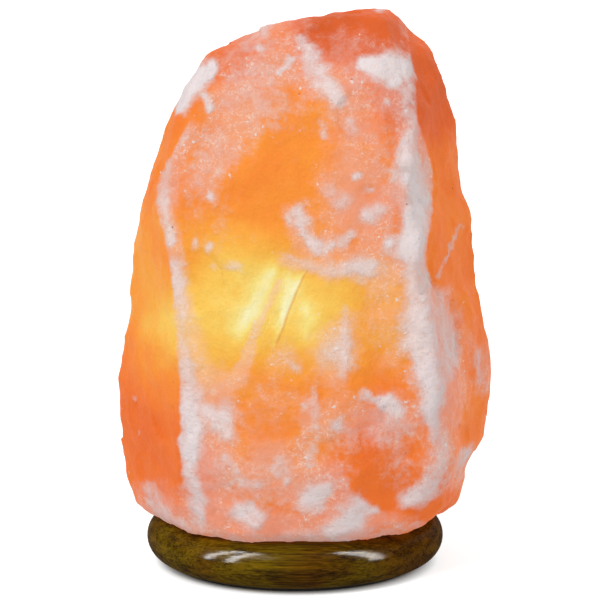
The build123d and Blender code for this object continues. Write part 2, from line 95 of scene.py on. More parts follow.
def drift(name, dark, light, patch, gloss, relief, metallic=0.0, lie=(1, 1, 1), ior=1.5):
    """A material whose colour and roughness drift over patches, with a relief of a tenth of their size.
    patch and relief are in mm, gloss is the lowest and highest roughness, and lie stretches the patches."""
    material, tree, shader, place = new_finish(name)
    lying = add(tree, "ShaderNodeMapping", {"Vector": place, "Scale": tuple(1 / k for k in lie)})
    patches = {"Vector": lying, "Scale": 1 / (patch * MM), "Detail": 5.0, "Roughness": 0.6}
    patches = add(tree, "ShaderNodeTexNoise", patches)
    grit = add(tree, "ShaderNodeTexNoise", {"Vector": lying, "Scale": 10 / (patch * MM), "Detail": 3.0})
    levels = {"From Min": 0.3, "From Max": 0.7, "To Min": gloss[0], "To Max": gloss[1]}
    join(tree, shader, {
        "Base Color": add(tree, "ShaderNodeValToRGB", {"Fac": patches}, stops=[(0.34, dark), (0.66, light)]),
        "Roughness": add(tree, "ShaderNodeMapRange", {"Value": patches, **levels}),
        "Normal": add(tree, "ShaderNodeBump", {"Height": grit, "Distance": relief * MM, "Strength": 1.0}),
        "Metallic": metallic,
    })
    if not metallic:
        shader.inputs["IOR"].default_value = ior
    return material


def dress(node, material):
    """Gives a CAD node its material."""
    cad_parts[node].material_slots[0].material = material


foam = drift("foam_rubber", "#161514", "#2B2927", patch=2.0, gloss=(0.82, 0.95), relief=0.12, ior=1.52)
dress("non_slip_ring", foam)


# ---------------------------------------------------------------- wood base
# A disc of neem or sheesham, turned on a lathe, stained dark brown and dipped in clear lacquer. The board's grain
# runs from side to side, so its lines lie flat along the front edge, and the lacquer mirrors the windows.

# The grain's lines, the pores and the redder patches of the heartwood, in mm.
grain_run, grain_width, grain_rise = 70, 7, 3.2
pore_run, pore_width, pore_rise = 14, 0.9, 0.55
heartwood_patch = 32

wood, tree, shader, place = new_finish("lacquered_sheesham")
figure = {"Vector": place, "Scale": (1 / grain_run, 1 / grain_width, 1 / grain_rise)}
figure = add(tree, "ShaderNodeMapping", figure)
rings = {"Vector": figure, "Scale": 1 / MM, "Detail": 7.0, "Roughness": 0.62, "Distortion": 0.5}
rings = add(tree, "ShaderNodeTexNoise", rings)
pores = {"Vector": place, "Scale": (1 / pore_run, 1 / pore_width, 1 / pore_rise)}
pores = add(tree, "ShaderNodeMapping", pores)
fibres = add(tree, "ShaderNodeTexNoise", {"Vector": pores, "Scale": 1 / MM, "Detail": 4.0, "Roughness": 0.7})
grain = add(tree, "ShaderNodeMix", {0: 0.5, 2: rings, 3: fibres}, data_type="FLOAT")
stain = add(tree, "ShaderNodeValToRGB", {"Fac": grain}, stops=[
    (0.36, "#201504"), (0.45, "#463206"), (0.51, "#5F4A06"), (0.58, "#735A08"), (0.68, "#886818"),
])
heart = add(tree, "ShaderNodeTexNoise", {"Vector": place, "Scale": 1 / (heartwood_patch * MM), "Detail": 2.0})
heart = {"Value": heart, "From Min": 0.42, "From Max": 0.62, "To Min": 0.0, "To Max": 0.75}
heart = add(tree, "ShaderNodeMapRange", heart)
tint = add(tree, "ShaderNodeMix", {0: heart, 6: linear("#FFFFFF"), 7: linear("#E8B8B4")}, data_type="RGBA")
stained = {0: 1.0, 6: stain, 7: tint.outputs[2]}
stained = add(tree, "ShaderNodeMix", stained, data_type="RGBA", blend_type="MULTIPLY")
sheen = {"Value": grain, "From Min": 0.35, "From Max": 0.65, "To Min": 0.5, "To Max": 0.36}
join(tree, shader, {
    "Base Color": stained.outputs[2],
    "Roughness": add(tree, "ShaderNodeMapRange", sheen),
    "Normal": add(tree, "ShaderNodeBump", {"Height": fibres, "Distance": 0.06 * MM, "Strength": 1.0}),
    "Specular IOR Level": 0.0,
    "Coat Normal": add(tree, "ShaderNodeBump", {"Height": fibres, "Distance": 0.03 * MM, "Strength": 1.0}),
    "Coat Weight": 0.07,
    "Coat Roughness": 0.12,
    "Coat IOR": 1.52,
})
dress("wood_base", wood)


# ---------------------------------------------------------------- salt crystal
# One hewn block of rock salt with a bore from below for the light. It is broken to shape with a hammer, never
# sawn, so it has shallow hollows between soft arrises. Clear salt glows orange in the bulb's light, which is
# painted into its colour and emission here, and salt full of fine cracks is frosted white.

# The photograph's eye, its distance to the sheet that the frost is laid on, the bulb's middle and the skin's step.
photo_eye = Vector((2.01, -1300, 349.6)) * MM
sheet_distance = 1253 * MM
bulb_heart = Vector((-8, -10, 108)) * MM
skin_step = 1.24 * MM


def put(name, data):
    """A new object with this data, in the scene."""
    thing = bpy.data.objects.new(name, data)
    bpy.context.scene.collection.objects.link(thing)
    return thing


crystal = put("crystal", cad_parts["salt_crystal"].data.copy())
block = bmesh.new()
block.from_mesh(crystal.data)
bmesh.ops.remove_doubles(block, verts=block.verts, dist=0.001 * MM)
bmesh.ops.recalc_face_normals(block, faces=block.faces)
block.to_mesh(crystal.data)
block.free()


def made_plain(piece):
    """Makes what the piece's modifiers give its plain mesh, and takes the modifiers off."""
    bpy.context.view_layer.update()
    made = bpy.data.meshes.new_from_object(piece.evaluated_get(bpy.context.evaluated_depsgraph_get()))
    piece.modifiers.clear()
    piece.data = made


remesh = crystal.modifiers.new("even_skin", "REMESH")
remesh.mode, remesh.voxel_size, remesh.use_smooth_shade = "VOXEL", skin_step, True
soften = crystal.modifiers.new("worn_arrises", "SMOOTH")
soften.factor, soften.iterations = 0.5, 7
made_plain(crystal)


def read_points(mesh, name="co"):
    """The places or the normals of a mesh's points."""
    source, field = (mesh.vertices, "co") if name == "co" else (mesh.vertex_normals, "vector")
    values = np.empty(len(source) * 3, np.float32)
    source.foreach_get(field, values)
    return values.reshape(-1, 3).astype(float)


def eased(value, low, high):
    """0 below low, 1 above high, and a soft step between them."""
    part = np.clip((value - low) / (high - low), 0, 1)
    return part * part * (3 - 2 * part)


def keep(mesh, name, values):
    """Stores one number for each point of the mesh."""
    attribute = mesh.attributes.new(name, "FLOAT", "POINT")
    attribute.data.foreach_set("value", np.asarray(values, np.float32))


# The bore, the foot and the three plug holes stay as they were drilled and sawn. From here on, places are in mm.
bore_radius, bore_top = 27, 145.5
foot_top = 20.6
plug_bearings, plug_circle, plug_radius, plug_top = (30, 150, 270), 38, 5.5, 46

points = read_points(crystal.data) / MM
normals = read_points(crystal.data, "normal")
bore_skin = (np.hypot(points[:, 0], points[:, 1]) < bore_radius) & (points[:, 2] < bore_top)
plug_holes = np.zeros(len(points), bool)
for bearing in plug_bearings:
    hole = plug_circle * np.array([math.cos(math.radians(bearing)), math.sin(math.radians(bearing))])
    from_hole = np.hypot(points[:, 0] - hole[0], points[:, 1] - hole[1])
    plug_holes |= (from_hole < plug_radius) & (points[:, 2] < plug_top)
outer = ~(bore_skin | (points[:, 2] < foot_top) | plug_holes)

# Shallow hollows, where the hammer took flakes off: each is part of a large ball pressed a little way into the
# skin. Small ones are shallower, and those that face the eye of the photograph are the flattest.
hollow_count, flake_reach = 420, 6
smallest_ball, ball_spread = 14, 12
shallowest, deepest, flat_front = 0.2, 0.75, 0.7

chance = np.random.default_rng(7)
candidates = np.flatnonzero(outer)
eye = np.array(photo_eye) / MM
for _ in range(hollow_count):
    middle = chance.choice(candidates)
    toward_eye = float(normals[middle] @ (eye - points[middle]) / np.linalg.norm(eye - points[middle]))
    ball = smallest_ball * ball_spread ** chance.random()
    depth = chance.uniform(shallowest, deepest) * (flat_front if toward_eye > 0.3 else 1.0)
    depth *= min(1, ball / 40 + 0.3)
    inward = -normals[middle] + chance.normal(0, 0.07, 3)
    inward /= np.linalg.norm(inward)
    from_middle = points - points[middle]
    height = from_middle @ inward
    across = (from_middle**2).sum(1) - height**2
    near = outer & (across < ball**2 - (ball - depth) ** 2) & (np.abs(height) < flake_reach)
    floor_depth = depth - ball + np.sqrt(np.maximum(ball**2 - across[near], 0))
    points[near] += np.maximum(floor_depth - height[near], 0)[:, None] * inward

# Broad swellings and dips that the outline shows: x, y, z, radius and height, in mm.
swellings = [
    (-46, -16, 174, 22, 1.2), (-34, -12, 206, 14, 0.9), (-54, -14, 152, 14, 0.8), (12, 0, 224, 34, -1.6),
    (76, 0, 78, 22, 1.0), (74, 0, 113, 12, -2.2), (64, 0, 54, 13, 2.3), (58, 0, 31, 10, 3.6),
    (-14, 8, 216, 18, 2.4),
]
for x, y, z, radius, height in swellings:
    away = ((points - (x, y, z)) ** 2).sum(1) / radius**2
    points += (outer * height * np.exp(-away))[:, None] * normals

crystal.data.vertices.foreach_set("co", (points * MM).astype(np.float32).ravel())
crystal.data.update()

# The frost is laid as strokes on an upright sheet in front of the block: x, height, radius (mm) and how dense it
# is, from 0 to 1.
shoulder = [
    [(-31.5, 205, 2.5, 1), (-36.5, 201, 3.8, 1), (-40.3, 196.3, 4, 1), (-42.7, 191.6, 3, 1)],
    [(-34.5, 194, 1.5, 0.8), (-31.5, 188.5, 1.2, 0.8)],
]
crown = [
    [(-13.3, 201, 15, 0.45)], [(-17, 216.8, 5, 0.45), (-9.5, 189.3, 12, 0.45)], [(-27, 189.3, 5, 0.4)],
    [(-12.5, 220, 3.5, 0.7)], [(-9.5, 222.7, 2.5, 0.7)], [(-14, 212.8, 2, 0.8)],
    [(3, 215, 2.8, 0.72), (7.5, 207.5, 4.0, 0.74), (12.5, 199, 4.2, 0.74), (17, 192, 3, 0.76)],
    [(-1.7, 208, 1.6, 0.75), (-5.6, 204, 1.2, 0.75)],
    [(25.3, 206.6, 2.5, 1), (33, 205.8, 4, 1), (40.7, 205, 4.4, 1)], [(37.6, 200.3, 2.5, 1)],
    [(33, 227, 2, 0.7)], [(38.8, 220.7, 1.3, 0.35), (40.7, 210.9, 1.3, 0.35)],
    [(50, 214.8, 2.4, 0.55), (55.4, 203, 2.2, 0.55)], [(-5, 205, 18, 0.35), (25, 200, 16, 0.35)],
]
right_band = [
    [(42.3, 197.9, 2.8, 0.65), (43, 189.3, 2.4, 0.65), (43.8, 181.4, 2.8, 0.65), (42.7, 173.6, 4, 0.75),
     (44.6, 163.7, 4.8, 0.9), (46, 153.9, 4, 0.9), (46, 144, 4, 0.95), (44.6, 136.2, 5, 0.95),
     (45.4, 129.5, 4, 0.75), (47.7, 118.5, 4.8, 0.75), (48.4, 108.7, 5.5, 0.85), (49.2, 96.9, 6.2, 0.85),
     (51.5, 87, 5.5, 0.85), (53, 77.3, 4, 0.9), (52.3, 69.4, 3.6, 0.8), (56.2, 59.6, 3.2, 0.65),
     (57.7, 51, 3.2, 0.65), (54.6, 43.9, 3.6, 0.7), (48.4, 39.1, 4, 0.8), (43.8, 36.8, 3.2, 0.8)],
    [(36.9, 138.2, 3.2, 0.85)], [(38.8, 163.7, 4, 0.7)],
    [(56.2, 110.7, 4, 0.6), (59.3, 96.9, 3.6, 0.7), (58, 85.1, 3, 0.6)],
    [(60.8, 140.1, 1.3, 0.45), (57.3, 126.4, 1.4, 0.5), (55, 114.6, 2.2, 0.5)], [(62, 122, 2.5, 0.4)],
    [(36, 180, 6, 0.35), (36, 140, 6, 0.35)],
]
middle_marks = [
    [(21.4, 183.4, 3.4, 0.6)], [(10.6, 185.3, 2, 0.6), (10.6, 179.4, 2, 0.6)], [(35, 193.2, 1.6, 0.7)],
    [(27.6, 158.6, 2, 0.7)], [(23, 163.3, 1.3, 0.8)], [(17.6, 153.9, 3.5, 0.6)], [(13.7, 157.8, 3.5, 0.5)],
    [(28.4, 148.4, 3.2, 0.75), (33, 152, 2.5, 0.6)], [(-1, 146.8, 2.4, 0.65)],
    [(2.1, 150, 2.4, 0.75), (3.7, 142.9, 2, 0.75), (6.8, 138.2, 2, 0.75), (11.8, 135.4, 2, 0.75),
     (17.6, 137, 2, 0.75), (21, 140.9, 1.6, 0.7)],
    [(-2.5, 132.3, 2, 0.5), (6, 129.5, 2.8, 0.55), (15.6, 128, 3.2, 0.6), (25.3, 127.2, 4, 0.85),
     (31, 129.5, 2.4, 0.8)],
    [(36, 129.5, 3.5, 0.45)], [(27.2, 116.6, 2, 0.4)], [(34.2, 115.4, 1.6, 0.4)],
    [(19.5, 112.6, 1.6, 0.5), (19.5, 102.8, 2.6, 0.65), (16.8, 94.2, 5, 0.75), (19.5, 87.9, 3.2, 0.7)],
    [(-2.5, 93, 2.5, 0.4), (0.2, 88.7, 1.8, 0.6)], [(-26.8, 83.2, 3.2, 0.35), (-31.8, 80, 2.4, 0.4)],
]
left_arris = [
    [(-41.5, 182.2, 2.4, 0.5), (-46, 173.6, 2.2, 0.5), (-49, 163.7, 2.3, 0.6), (-50, 155.9, 2.3, 0.65),
     (-48.6, 148, 2, 0.7), (-47.4, 138.2, 1.3, 0.8)],
    [(-46.9, 135, 1.2, 0.4), (-45.7, 129.5, 3.2, 0.7), (-44.6, 121.7, 3.6, 0.85), (-44.6, 115.4, 2.4, 0.8),
     (-43.8, 107.5, 1.5, 0.5), (-43, 98.9, 2, 0.55), (-41.9, 91, 3, 0.75), (-40.3, 83.2, 4, 0.7),
     (-39.6, 75.3, 4.4, 0.85), (-39.6, 67.4, 4.8, 0.95), (-40.3, 59.6, 4.4, 0.95), (-41, 53.7, 3.2, 0.9),
     (-41.9, 47.8, 2.6, 0.75), (-40.3, 43, 2.6, 0.75), (-37.6, 38, 2.2, 0.8), (-37.2, 32, 2.4, 0.75),
     (-36.5, 26, 3.2, 0.7)],
    [(-28, 68.2, 5, 0.85), (-33.4, 71.4, 3.2, 0.75)], [(-25.7, 63.5, 3.2, 0.75)],
    [(-32.6, 173.6, 10, 0.42), (-32.6, 142, 10, 0.35)], [(-32.2, 137.4, 1.7, 0.75)],
    [(-38.4, 138.2, 1.7, 0.65)], [(-30.3, 129, 1.7, 0.6)], [(-24.1, 129.5, 2, 0.65)], [(-31.5, 155.9, 2, 0.7)],
]
lower_marks = [
    [(-28.8, 47.8, 10, 0.45), (-13.3, 40, 10, 0.45)], [(-28, 53.7, 1.6, 0.6), (-22.6, 47.8, 2, 0.65)],
    [(-24, 43, 2, 0.6), (-12.5, 43, 2, 0.6)], [(-19, 31.3, 4.4, 0.85), (-15.2, 27.4, 3.4, 0.7)],
    [(-6.4, 48.6, 4, 0.65)], [(-2.5, 43.9, 2, 0.65)],
    [(8.3, 81.2, 1.6, 0.5), (7.9, 75.3, 2.8, 0.6), (7.5, 67.4, 2.4, 0.55), (7.5, 59.6, 2.4, 0.55),
     (5.2, 51, 2.6, 0.65)],
    [(3.3, 73.3, 2, 0.55)], [(31, 76, 2.4, 0.75), (36, 74.5, 3.4, 0.85), (40.7, 71.4, 3.4, 0.8)],
    [(27.6, 78.4, 2.4, 0.7)], [(21.4, 59.6, 10, 0.42)], [(36.9, 63.5, 10, 0.5)], [(40.7, 51.7, 10, 0.42)],
    [(16.8, 66.6, 2.4, 0.75)], [(6.8, 38, 4.8, 0.9), (11.8, 40, 3.2, 0.8)], [(12, 42, 8, 0.45)],
    [(-8, 38, 10, 0.4)],
    [(15.6, 24.2, 5, 0.8), (21.4, 28.1, 5.5, 0.9), (25.3, 32.9, 3, 0.8), (32.2, 32.9, 2, 0.7)],
    [(-55, 36, 3, 0.65), (-50, 30, 2.8, 0.65), (-40.3, 24.2, 3.2, 0.6), (-26.8, 21, 2.8, 0.5),
     (-9.5, 20.3, 2.6, 0.45), (6, 21, 3.4, 0.6), (25.3, 22.2, 2.8, 0.5), (40.7, 24.2, 2.4, 0.5),
     (49, 26.5, 2, 0.5)],
    [(-55.8, 41.9, 3, 0.6), (-53.8, 36, 3, 0.65)], [(70.8, 95, 2.4, 0.55), (71.6, 83.2, 2.2, 0.55)],
    [(65.4, 53.7, 2.8, 0.7), (62, 45.8, 2, 0.5)],
]
# Small marks lie on the clear salt beyond the two arrises.
line_marks = [
    [(63.2, 144.7, 0.9, 0.8), (57.5, 131, 0.9, 0.8), (53.6, 123.8, 1.2, 0.8)], [(-62, 77, 1.3, 0.7)],
    [(-60, 63, 1.2, 0.8)],
]

# A thinner frost, salmon where the painted glow comes through it, lies round these and over wide patches.
veils = [
    [(-12.5, 213, 11, 0.5), (-19, 191, 9.5, 0.62), (-30.5, 173.5, 7, 0.62), (-34.5, 162, 6, 0.55)],
    [(-3.5, 208, 9, 0.5), (9, 202, 7, 0.6), (15.5, 193, 4.5, 0.55)], [(-9, 75, 12, 0.32)], [(33, 112, 9, 0.36)],
    [(21.5, 209, 8, 0.4), (22, 195, 8, 0.55), (26, 173.5, 10, 0.5), (21.5, 154, 10, 0.55), (32, 140, 8, 0.55),
     (35, 124.5, 7, 0.55)],
    [(-10, 222.5, 5.5, 0.55), (2, 224, 4, 0.35)],
    [(42.5, 221.5, 3.5, 0.4), (51.5, 209, 2.7, 0.6), (56, 198, 2.3, 0.6)],
    [(35, 205, 6, 0.75), (41.5, 189.5, 5, 0.6), (46, 167.5, 6.2, 0.75), (47.5, 138, 6.6, 0.75),
     (50.5, 114.5, 7.8, 0.7), (54.5, 97, 8.6, 0.7), (57, 79, 6.6, 0.65), (56, 59.5, 5, 0.6),
     (55, 48, 3.8, 0.5), (49, 40, 3.4, 0.4)],
    [(71, 95, 3.5, 0.5), (72.5, 81, 2.7, 0.55)], [(67.5, 55.5, 2.7, 0.5), (62, 44, 4, 0.45)],
    [(39, 114.5, 8.5, 0.3), (37.5, 95, 7, 0.38)],
    [(-39.5, 182, 3.5, 0.6), (-48.5, 163.5, 3.6, 0.7), (-49.5, 146, 3, 0.7), (-46.5, 129.5, 2.8, 0.7),
     (-44, 114.5, 3, 0.7), (-42, 95, 5, 0.7), (-36.5, 80, 8.6, 0.72), (-32, 63.5, 10, 0.62),
     (-32, 42, 9.4, 0.6), (-25.5, 28, 7.8, 0.62)],
    [(-5.6, 122.5, 0.7, 0.6), (-10.6, 113.4, 1.0, 0.75), (-17.2, 96.1, 1.4, 0.85), (-22.2, 83.2, 2.4, 0.8),
     (-31.8, 78.4, 3.6, 0.7)],
    [(-3.5, 92, 5, 0.55)], [(-56, 38, 6, 0.5), (-45.5, 30, 5, 0.6)], [(-56, 91, 3, 0.4)],
    [(-40.5, 33, 5.5, 0.55), (-21, 26, 7, 0.65), (2, 25, 6, 0.65), (25.5, 29, 7.8, 0.7), (42, 28, 4, 0.4)],
    [(-10, 52.5, 8.6, 0.55), (2, 42, 9.4, 0.68), (17, 42, 8.6, 0.68), (26, 35, 5, 0.6)],
    [(-27, 53.5, 7, 0.5), (-17, 44.5, 7, 0.5)],
    [(15.5, 67.5, 8.6, 0.5), (31, 65.5, 10, 0.55), (44, 67.5, 6.2, 0.5)],
    [(19.5, 53.5, 7, 0.4), (37.5, 53.5, 7, 0.35)],
    [(4.5, 75.5, 2.3, 0.5), (3.5, 62.5, 2.3, 0.62), (2, 50, 3, 0.65)],
    [(13.5, 160, 5.5, 0.55), (19.5, 152, 7.8, 0.62), (30, 148, 6.2, 0.62), (37.5, 156, 5.5, 0.6)],
    [(2, 149, 4, 0.6), (3.5, 138, 4, 0.6), (17, 137.5, 4, 0.55)],
    [(-3.5, 131, 2.7, 0.5), (13.5, 129.5, 4.3, 0.6), (30, 129.5, 6, 0.7), (41.5, 126.5, 5.5, 0.65)],
    [(21.5, 107.5, 3.5, 0.5), (15.5, 97, 6.2, 0.66), (13.5, 89, 4.7, 0.6)], [(15.5, 84, 4.3, 0.45)],
]

# The painted glow of the bulb's light on that sheet: x, height, radius (mm) and glow, from 0 for the darkest
# orange to 1 for the brightest yellow. A crack cuts through the brightest part.
painted_glow_spots = [
    (-17.2, 118.5, 17.5, 0.86), (-30.7, 102.8, 15.5, 0.84), (6, 110.7, 15.5, 0.84), (-49, 108, 10, 0.86),
    (-5.6, 161.8, 19.5, 0.55), (13.7, 142.1, 12, 0.5), (-9.5, 72, 18, 0.52), (-55.8, 134, 13, 0.6),
    (-60, 114, 9, 0.6), (-49, 92, 8, 0.72), (-63, 96, 8, 0.45), (-56, 84, 9, 0.4), (-48, 80, 7, 0.5),
    (-60, 66, 11, 0.28), (-50, 47.8, 11, 0.34), (-48, 168, 13, 0.48), (56.2, 138.2, 12, 0.42),
    (63.9, 115, 12, 0.42), (52.3, 197.1, 10, 0.12), (34.9, 214.8, 8, 0.1), (13.7, 222.7, 8, 0.08),
    (-24.9, 210.9, 6, 0.3), (29.1, 47.8, 10, 0.33), (19.5, 43.9, 4, 0.38), (52.3, 36, 6, 0.28),
    (36.9, 115, 10, 0.68), (29.1, 102.8, 10, 0.6),
]
painted_glow_streaks = [
    [(-8.5, 125.5, 1.6, 0.8), (-12.5, 118.5, 2.4, 1), (-17.2, 110.8, 2.5, 1), (-21.5, 103.5, 1.8, 0.8)],
    [(-2.4, 121.5, 2.4, 0.92), (-4.4, 112, 2.2, 0.9), (-6.2, 106, 1.4, 0.75)],
    [(3.6, 112, 1.8, 0.76), (4.6, 107, 2.4, 0.86), (4.6, 102, 1.8, 0.7)],
]
crack = [(4, 126), (0.6, 118.5), (-2.1, 111.5), (-4.4, 105), (-7.2, 98.5)]

# Two sharp arrises run down the front, and the frost stops at them: clear salt lies left of the first and right of
# the second.
left_edge = [
    (-39.2, 185.3), (-46.1, 172.4), (-51.9, 161), (-52.2, 153.9), (-49.3, 142.1), (-47.4, 130.3),
    (-46.4, 115.8), (-44.9, 100.1), (-44.2, 87.1), (-43.5, 74.1), (-44.2, 58.4), (-43.9, 45),
]
right_edge = [
    (41.4, 224.6), (42.7, 211.6), (45.2, 201.1), (45, 194.5), (45.9, 185.3), (48.7, 176.2), (52, 165.7),
    (51.6, 155.2), (50.8, 144.7), (49.5, 131.6), (51.3, 121.2),
]
# A clear facet lies low on the right, and the thin frost on its left ends at its rounded edge.
facet_edge = [(16.5, 62), (17.5, 53), (19.1, 45), (21.0, 40), (24.8, 35), (31.0, 32.5)]


def stroke_cover(places, strokes, soft=1.2):
    """How far strokes cover each place: their density in the middle, most of it at their radius, then nothing."""
    cover = np.zeros(len(places))
    for stroke in strokes:
        for start, end in zip(stroke, stroke[1:] or stroke):
            start, end = np.array(start, float), np.array(end, float)
            run = (end - start)[:-2]
            along = np.clip((places - start[:-2]) @ run / max(run @ run, 1e-9), 0, 1)
            away = np.linalg.norm(places - start[:-2] - along[:, None] * run, axis=1)
            radius = start[-2] + along * (end[-2] - start[-2])
            density = start[-1] + along * (end[-1] - start[-1])
            cover = np.maximum(cover, density * np.clip(0.7 + (1 - away / radius) / soft, 0, 1))
    return cover


def beside_line(places, line, far=200.0):
    """How far each place lies from a line that runs down the sheet: negative to its left, positive to its right,
    and at most far."""
    nearest = np.full(len(places), far)
    for start, end in zip(line, line[1:]):
        start, run = np.array(start), np.subtract(end, start)
        offset = places - start
        along = np.clip(offset @ run / (run @ run), 0, 1)
        away = np.linalg.norm(offset - along[:, None] * run, axis=1)
        side = np.where(run[0] * offset[:, 1] - run[1] * offset[:, 0] > 0, 1, -1)
        nearer = away < np.abs(nearest)
        nearest[nearer] = (away * side)[nearer]
    return nearest


def beyond_edge(places, line, side, fade=3, turn=(-0.2, 1.3)):
    """1 on one side of an arris, within its own heights, and 0 on the other. The arris fades out at its ends, and
    turns over between two distances from its line."""
    above_foot = eased(places[:, 1], line[-1][1] - fade, line[-1][1] + fade)
    below_top = 1 - eased(places[:, 1], line[0][1] - fade, line[0][1] + fade)
    return above_foot * below_top * eased(side * beside_line(places, line), *turn)


# The front's marks give way to the back's along a seam that wanders round the sides.
seam_patch, seam_swing, seam_start, seam_end = 22, 14, -2, 26
seam = np.array([noise.noise(p / seam_patch) for p in map(Vector, points)]) * seam_swing
front = 1 - eased(points[:, 1] + seam, seam_start, seam_end)
scale = sheet_distance / MM / (points[:, 1] - eye[1])
on_sheet = np.stack([eye[0] + (points[:, 0] - eye[0]) * scale, eye[2] + (points[:, 2] - eye[2]) * scale], 1)

# Real frost has ragged edges, so the places are shaken a little before the strokes are read: far over slow patches,
# and less over quick ones.
slow_patch, slow_shake, quick_patch, quick_shake = 11, 1.9, 4, 1.3
apart = Vector((9, 9, 9))
noise.seed_set(7)
shaken = np.array([
    noise.noise_vector(p / slow_patch) * slow_shake + noise.noise_vector(p / quick_patch + apart) * quick_shake
    for p in map(Vector, points)
])
torn = on_sheet + shaken[:, [0, 2]]
wavy = on_sheet + shaken[:, [0, 2]] * 0.3

# The frost stops at the arrises, and the clear facet takes most of the thin frost, up to its far side.
facet_far = (13, 22)
bare = np.maximum(beyond_edge(wavy, left_edge, -1), beyond_edge(wavy, right_edge, 1))
clear_facet = beyond_edge(wavy, facet_edge, 1) * (1 - eased(beside_line(wavy, facet_edge), *facet_far))
front_strokes = shoulder + crown + right_band + middle_marks + left_arris + lower_marks
front_frost = stroke_cover(torn, front_strokes, soft=2.0) * (1 - bare)
front_frost = np.maximum(front_frost, 0.7 * stroke_cover(torn, line_marks, soft=1.4))
front_veil = np.maximum(stroke_cover(torn, veils, soft=1.8), 0.06)
front_veil = front_veil * (1 - bare) * (1 - 0.75 * clear_facet)

# Round the back, seeded strokes wander down the block, as the bands do on the front, among wide thin patches.
back_bands, band_radius, band_density = 64, (1.6, 5.2), (0.55, 1.0)
back_patches, patch_radius, patch_density = 26, (9, 17), (0.36, 0.48)
stride, sway = (5, 10), 2.2

to_eye = eye - points
facing = (normals * to_eye).sum(1) / np.linalg.norm(to_eye, axis=1)
skin = np.flatnonzero(outer & (facing < 0.35))
back_strokes = []
for _ in range(back_bands):
    here = points[chance.choice(skin)]
    radius, density = chance.uniform(*band_radius), chance.uniform(*band_density)
    lean = chance.normal(0, 0.5, 2)
    path = []
    for _ in range(chance.integers(1, 8)):
        path.append((*here, radius * chance.uniform(0.6, 1.3), density * chance.uniform(0.75, 1)))
        aimed = here + np.array([lean[0], lean[1], -1]) * chance.uniform(*stride) + chance.normal(0, sway, 3)
        here = points[skin[np.argmin(((points[skin] - aimed) ** 2).sum(1))]]
    back_strokes.append(path)
for _ in range(back_patches):
    here = points[chance.choice(skin)]
    back_strokes.append([(*here, chance.uniform(*patch_radius), chance.uniform(*patch_density))])
back_frost = stroke_cover(points + shaken, back_strokes, soft=1.5)
back_veils = [[(*mark[:3], mark[3] * 1.5 + 1.5, mark[4] * 0.72) for mark in path] for path in back_strokes]
back_veil = stroke_cover(points + shaken, back_veils, soft=1.3)
frost = front * front_frost + (1 - front) * back_frost
veil = front * front_veil + (1 - front) * back_veil
frost[~outer], veil[~outer] = 0.1, 0.4

# The spots of painted glow share each place by their nearness, and a dim plain painted glow takes what lies far
# from all of them.
spot_fall, plain_share, plain_painted_glow = 0.85, 0.06, 0.42
spots = np.array(painted_glow_spots)
away = ((on_sheet[:, None, :] - spots[None, :, :2]) ** 2).sum(2) / spots[:, 2] ** 2
share = np.exp(-spot_fall * away)
front_painted_glow = (share @ spots[:, 3] + plain_share * plain_painted_glow) / (share.sum(1) + plain_share)
streaks = stroke_cover(on_sheet + shaken[:, [0, 2]] * 0.5, painted_glow_streaks, soft=4.4)
front_painted_glow = front_painted_glow + (1 - front_painted_glow) * eased(streaks, 0.0, 1.0)
# At the back the painted glow falls off from the bulb through the thickness of the salt, and in the bore up and
# down.
bright_depth, depth_fall = 45, 33
bright_height, height_fall = 85, 60
deep = np.linalg.norm(points - np.array(bulb_heart) / MM, axis=1)
back_painted_glow = 0.24 + 0.6 * np.exp(-(((deep - bright_depth) / depth_fall) ** 2))
bore_painted_glow = 0.25 + 0.75 * np.exp(-(((points[:, 2] - bright_height) / height_fall) ** 2))

crack_reach = 6.0
crack_side = beside_line(on_sheet, crack, crack_reach)
crack_side[front < 0.5] = crack_reach
keep(crystal.data, "frost", frost)
keep(crystal.data, "veil", veil)
keep(crystal.data, "glow", np.where(outer, front * front_painted_glow + (1 - front) * back_painted_glow, bore_painted_glow))
keep(crystal.data, "crack", crack_side)
keep(crystal.data, "skin", outer)

# Rock salt: broken, then rinsed. Its clear parts are orange with a painted glow, the cracked parts a sugary white,
# and both are satin. The patterns' sizes are in mm.
crack_patch, sugar_grain, cloud_patch = 6, 1.4, 20
coarse_grain, grain_bend, bend_patch, clay_gap = 3.4, 2.4, 1.8, 15
crease_gap, lump_patch = 3.0, 3.4

salt, tree, shader, place = new_finish("rock_salt")
frost_here = add(tree, "ShaderNodeAttribute", attribute_name="frost").outputs["Fac"]
painted_glow_here = add(tree, "ShaderNodeAttribute", attribute_name="glow").outputs["Fac"]
crack_here = add(tree, "ShaderNodeAttribute", attribute_name="crack").outputs["Fac"]
veil_here = add(tree, "ShaderNodeAttribute", attribute_name="veil").outputs["Fac"]
ragged = {"Vector": place, "Scale": 1 / (crack_patch * MM), "Detail": 7.0, "Roughness": 0.68}
ragged = add(tree, "ShaderNodeTexNoise", ragged)
sugar = {"Vector": place, "Scale": 1 / (sugar_grain * MM), "Detail": 4.0, "Roughness": 0.7}
sugar = add(tree, "ShaderNodeTexNoise", sugar)
cloud = {"Vector": place, "Scale": 1 / (cloud_patch * MM), "Detail": 5.0, "Roughness": 0.6, "Distortion": 0.4}
cloud = add(tree, "ShaderNodeTexNoise", cloud)
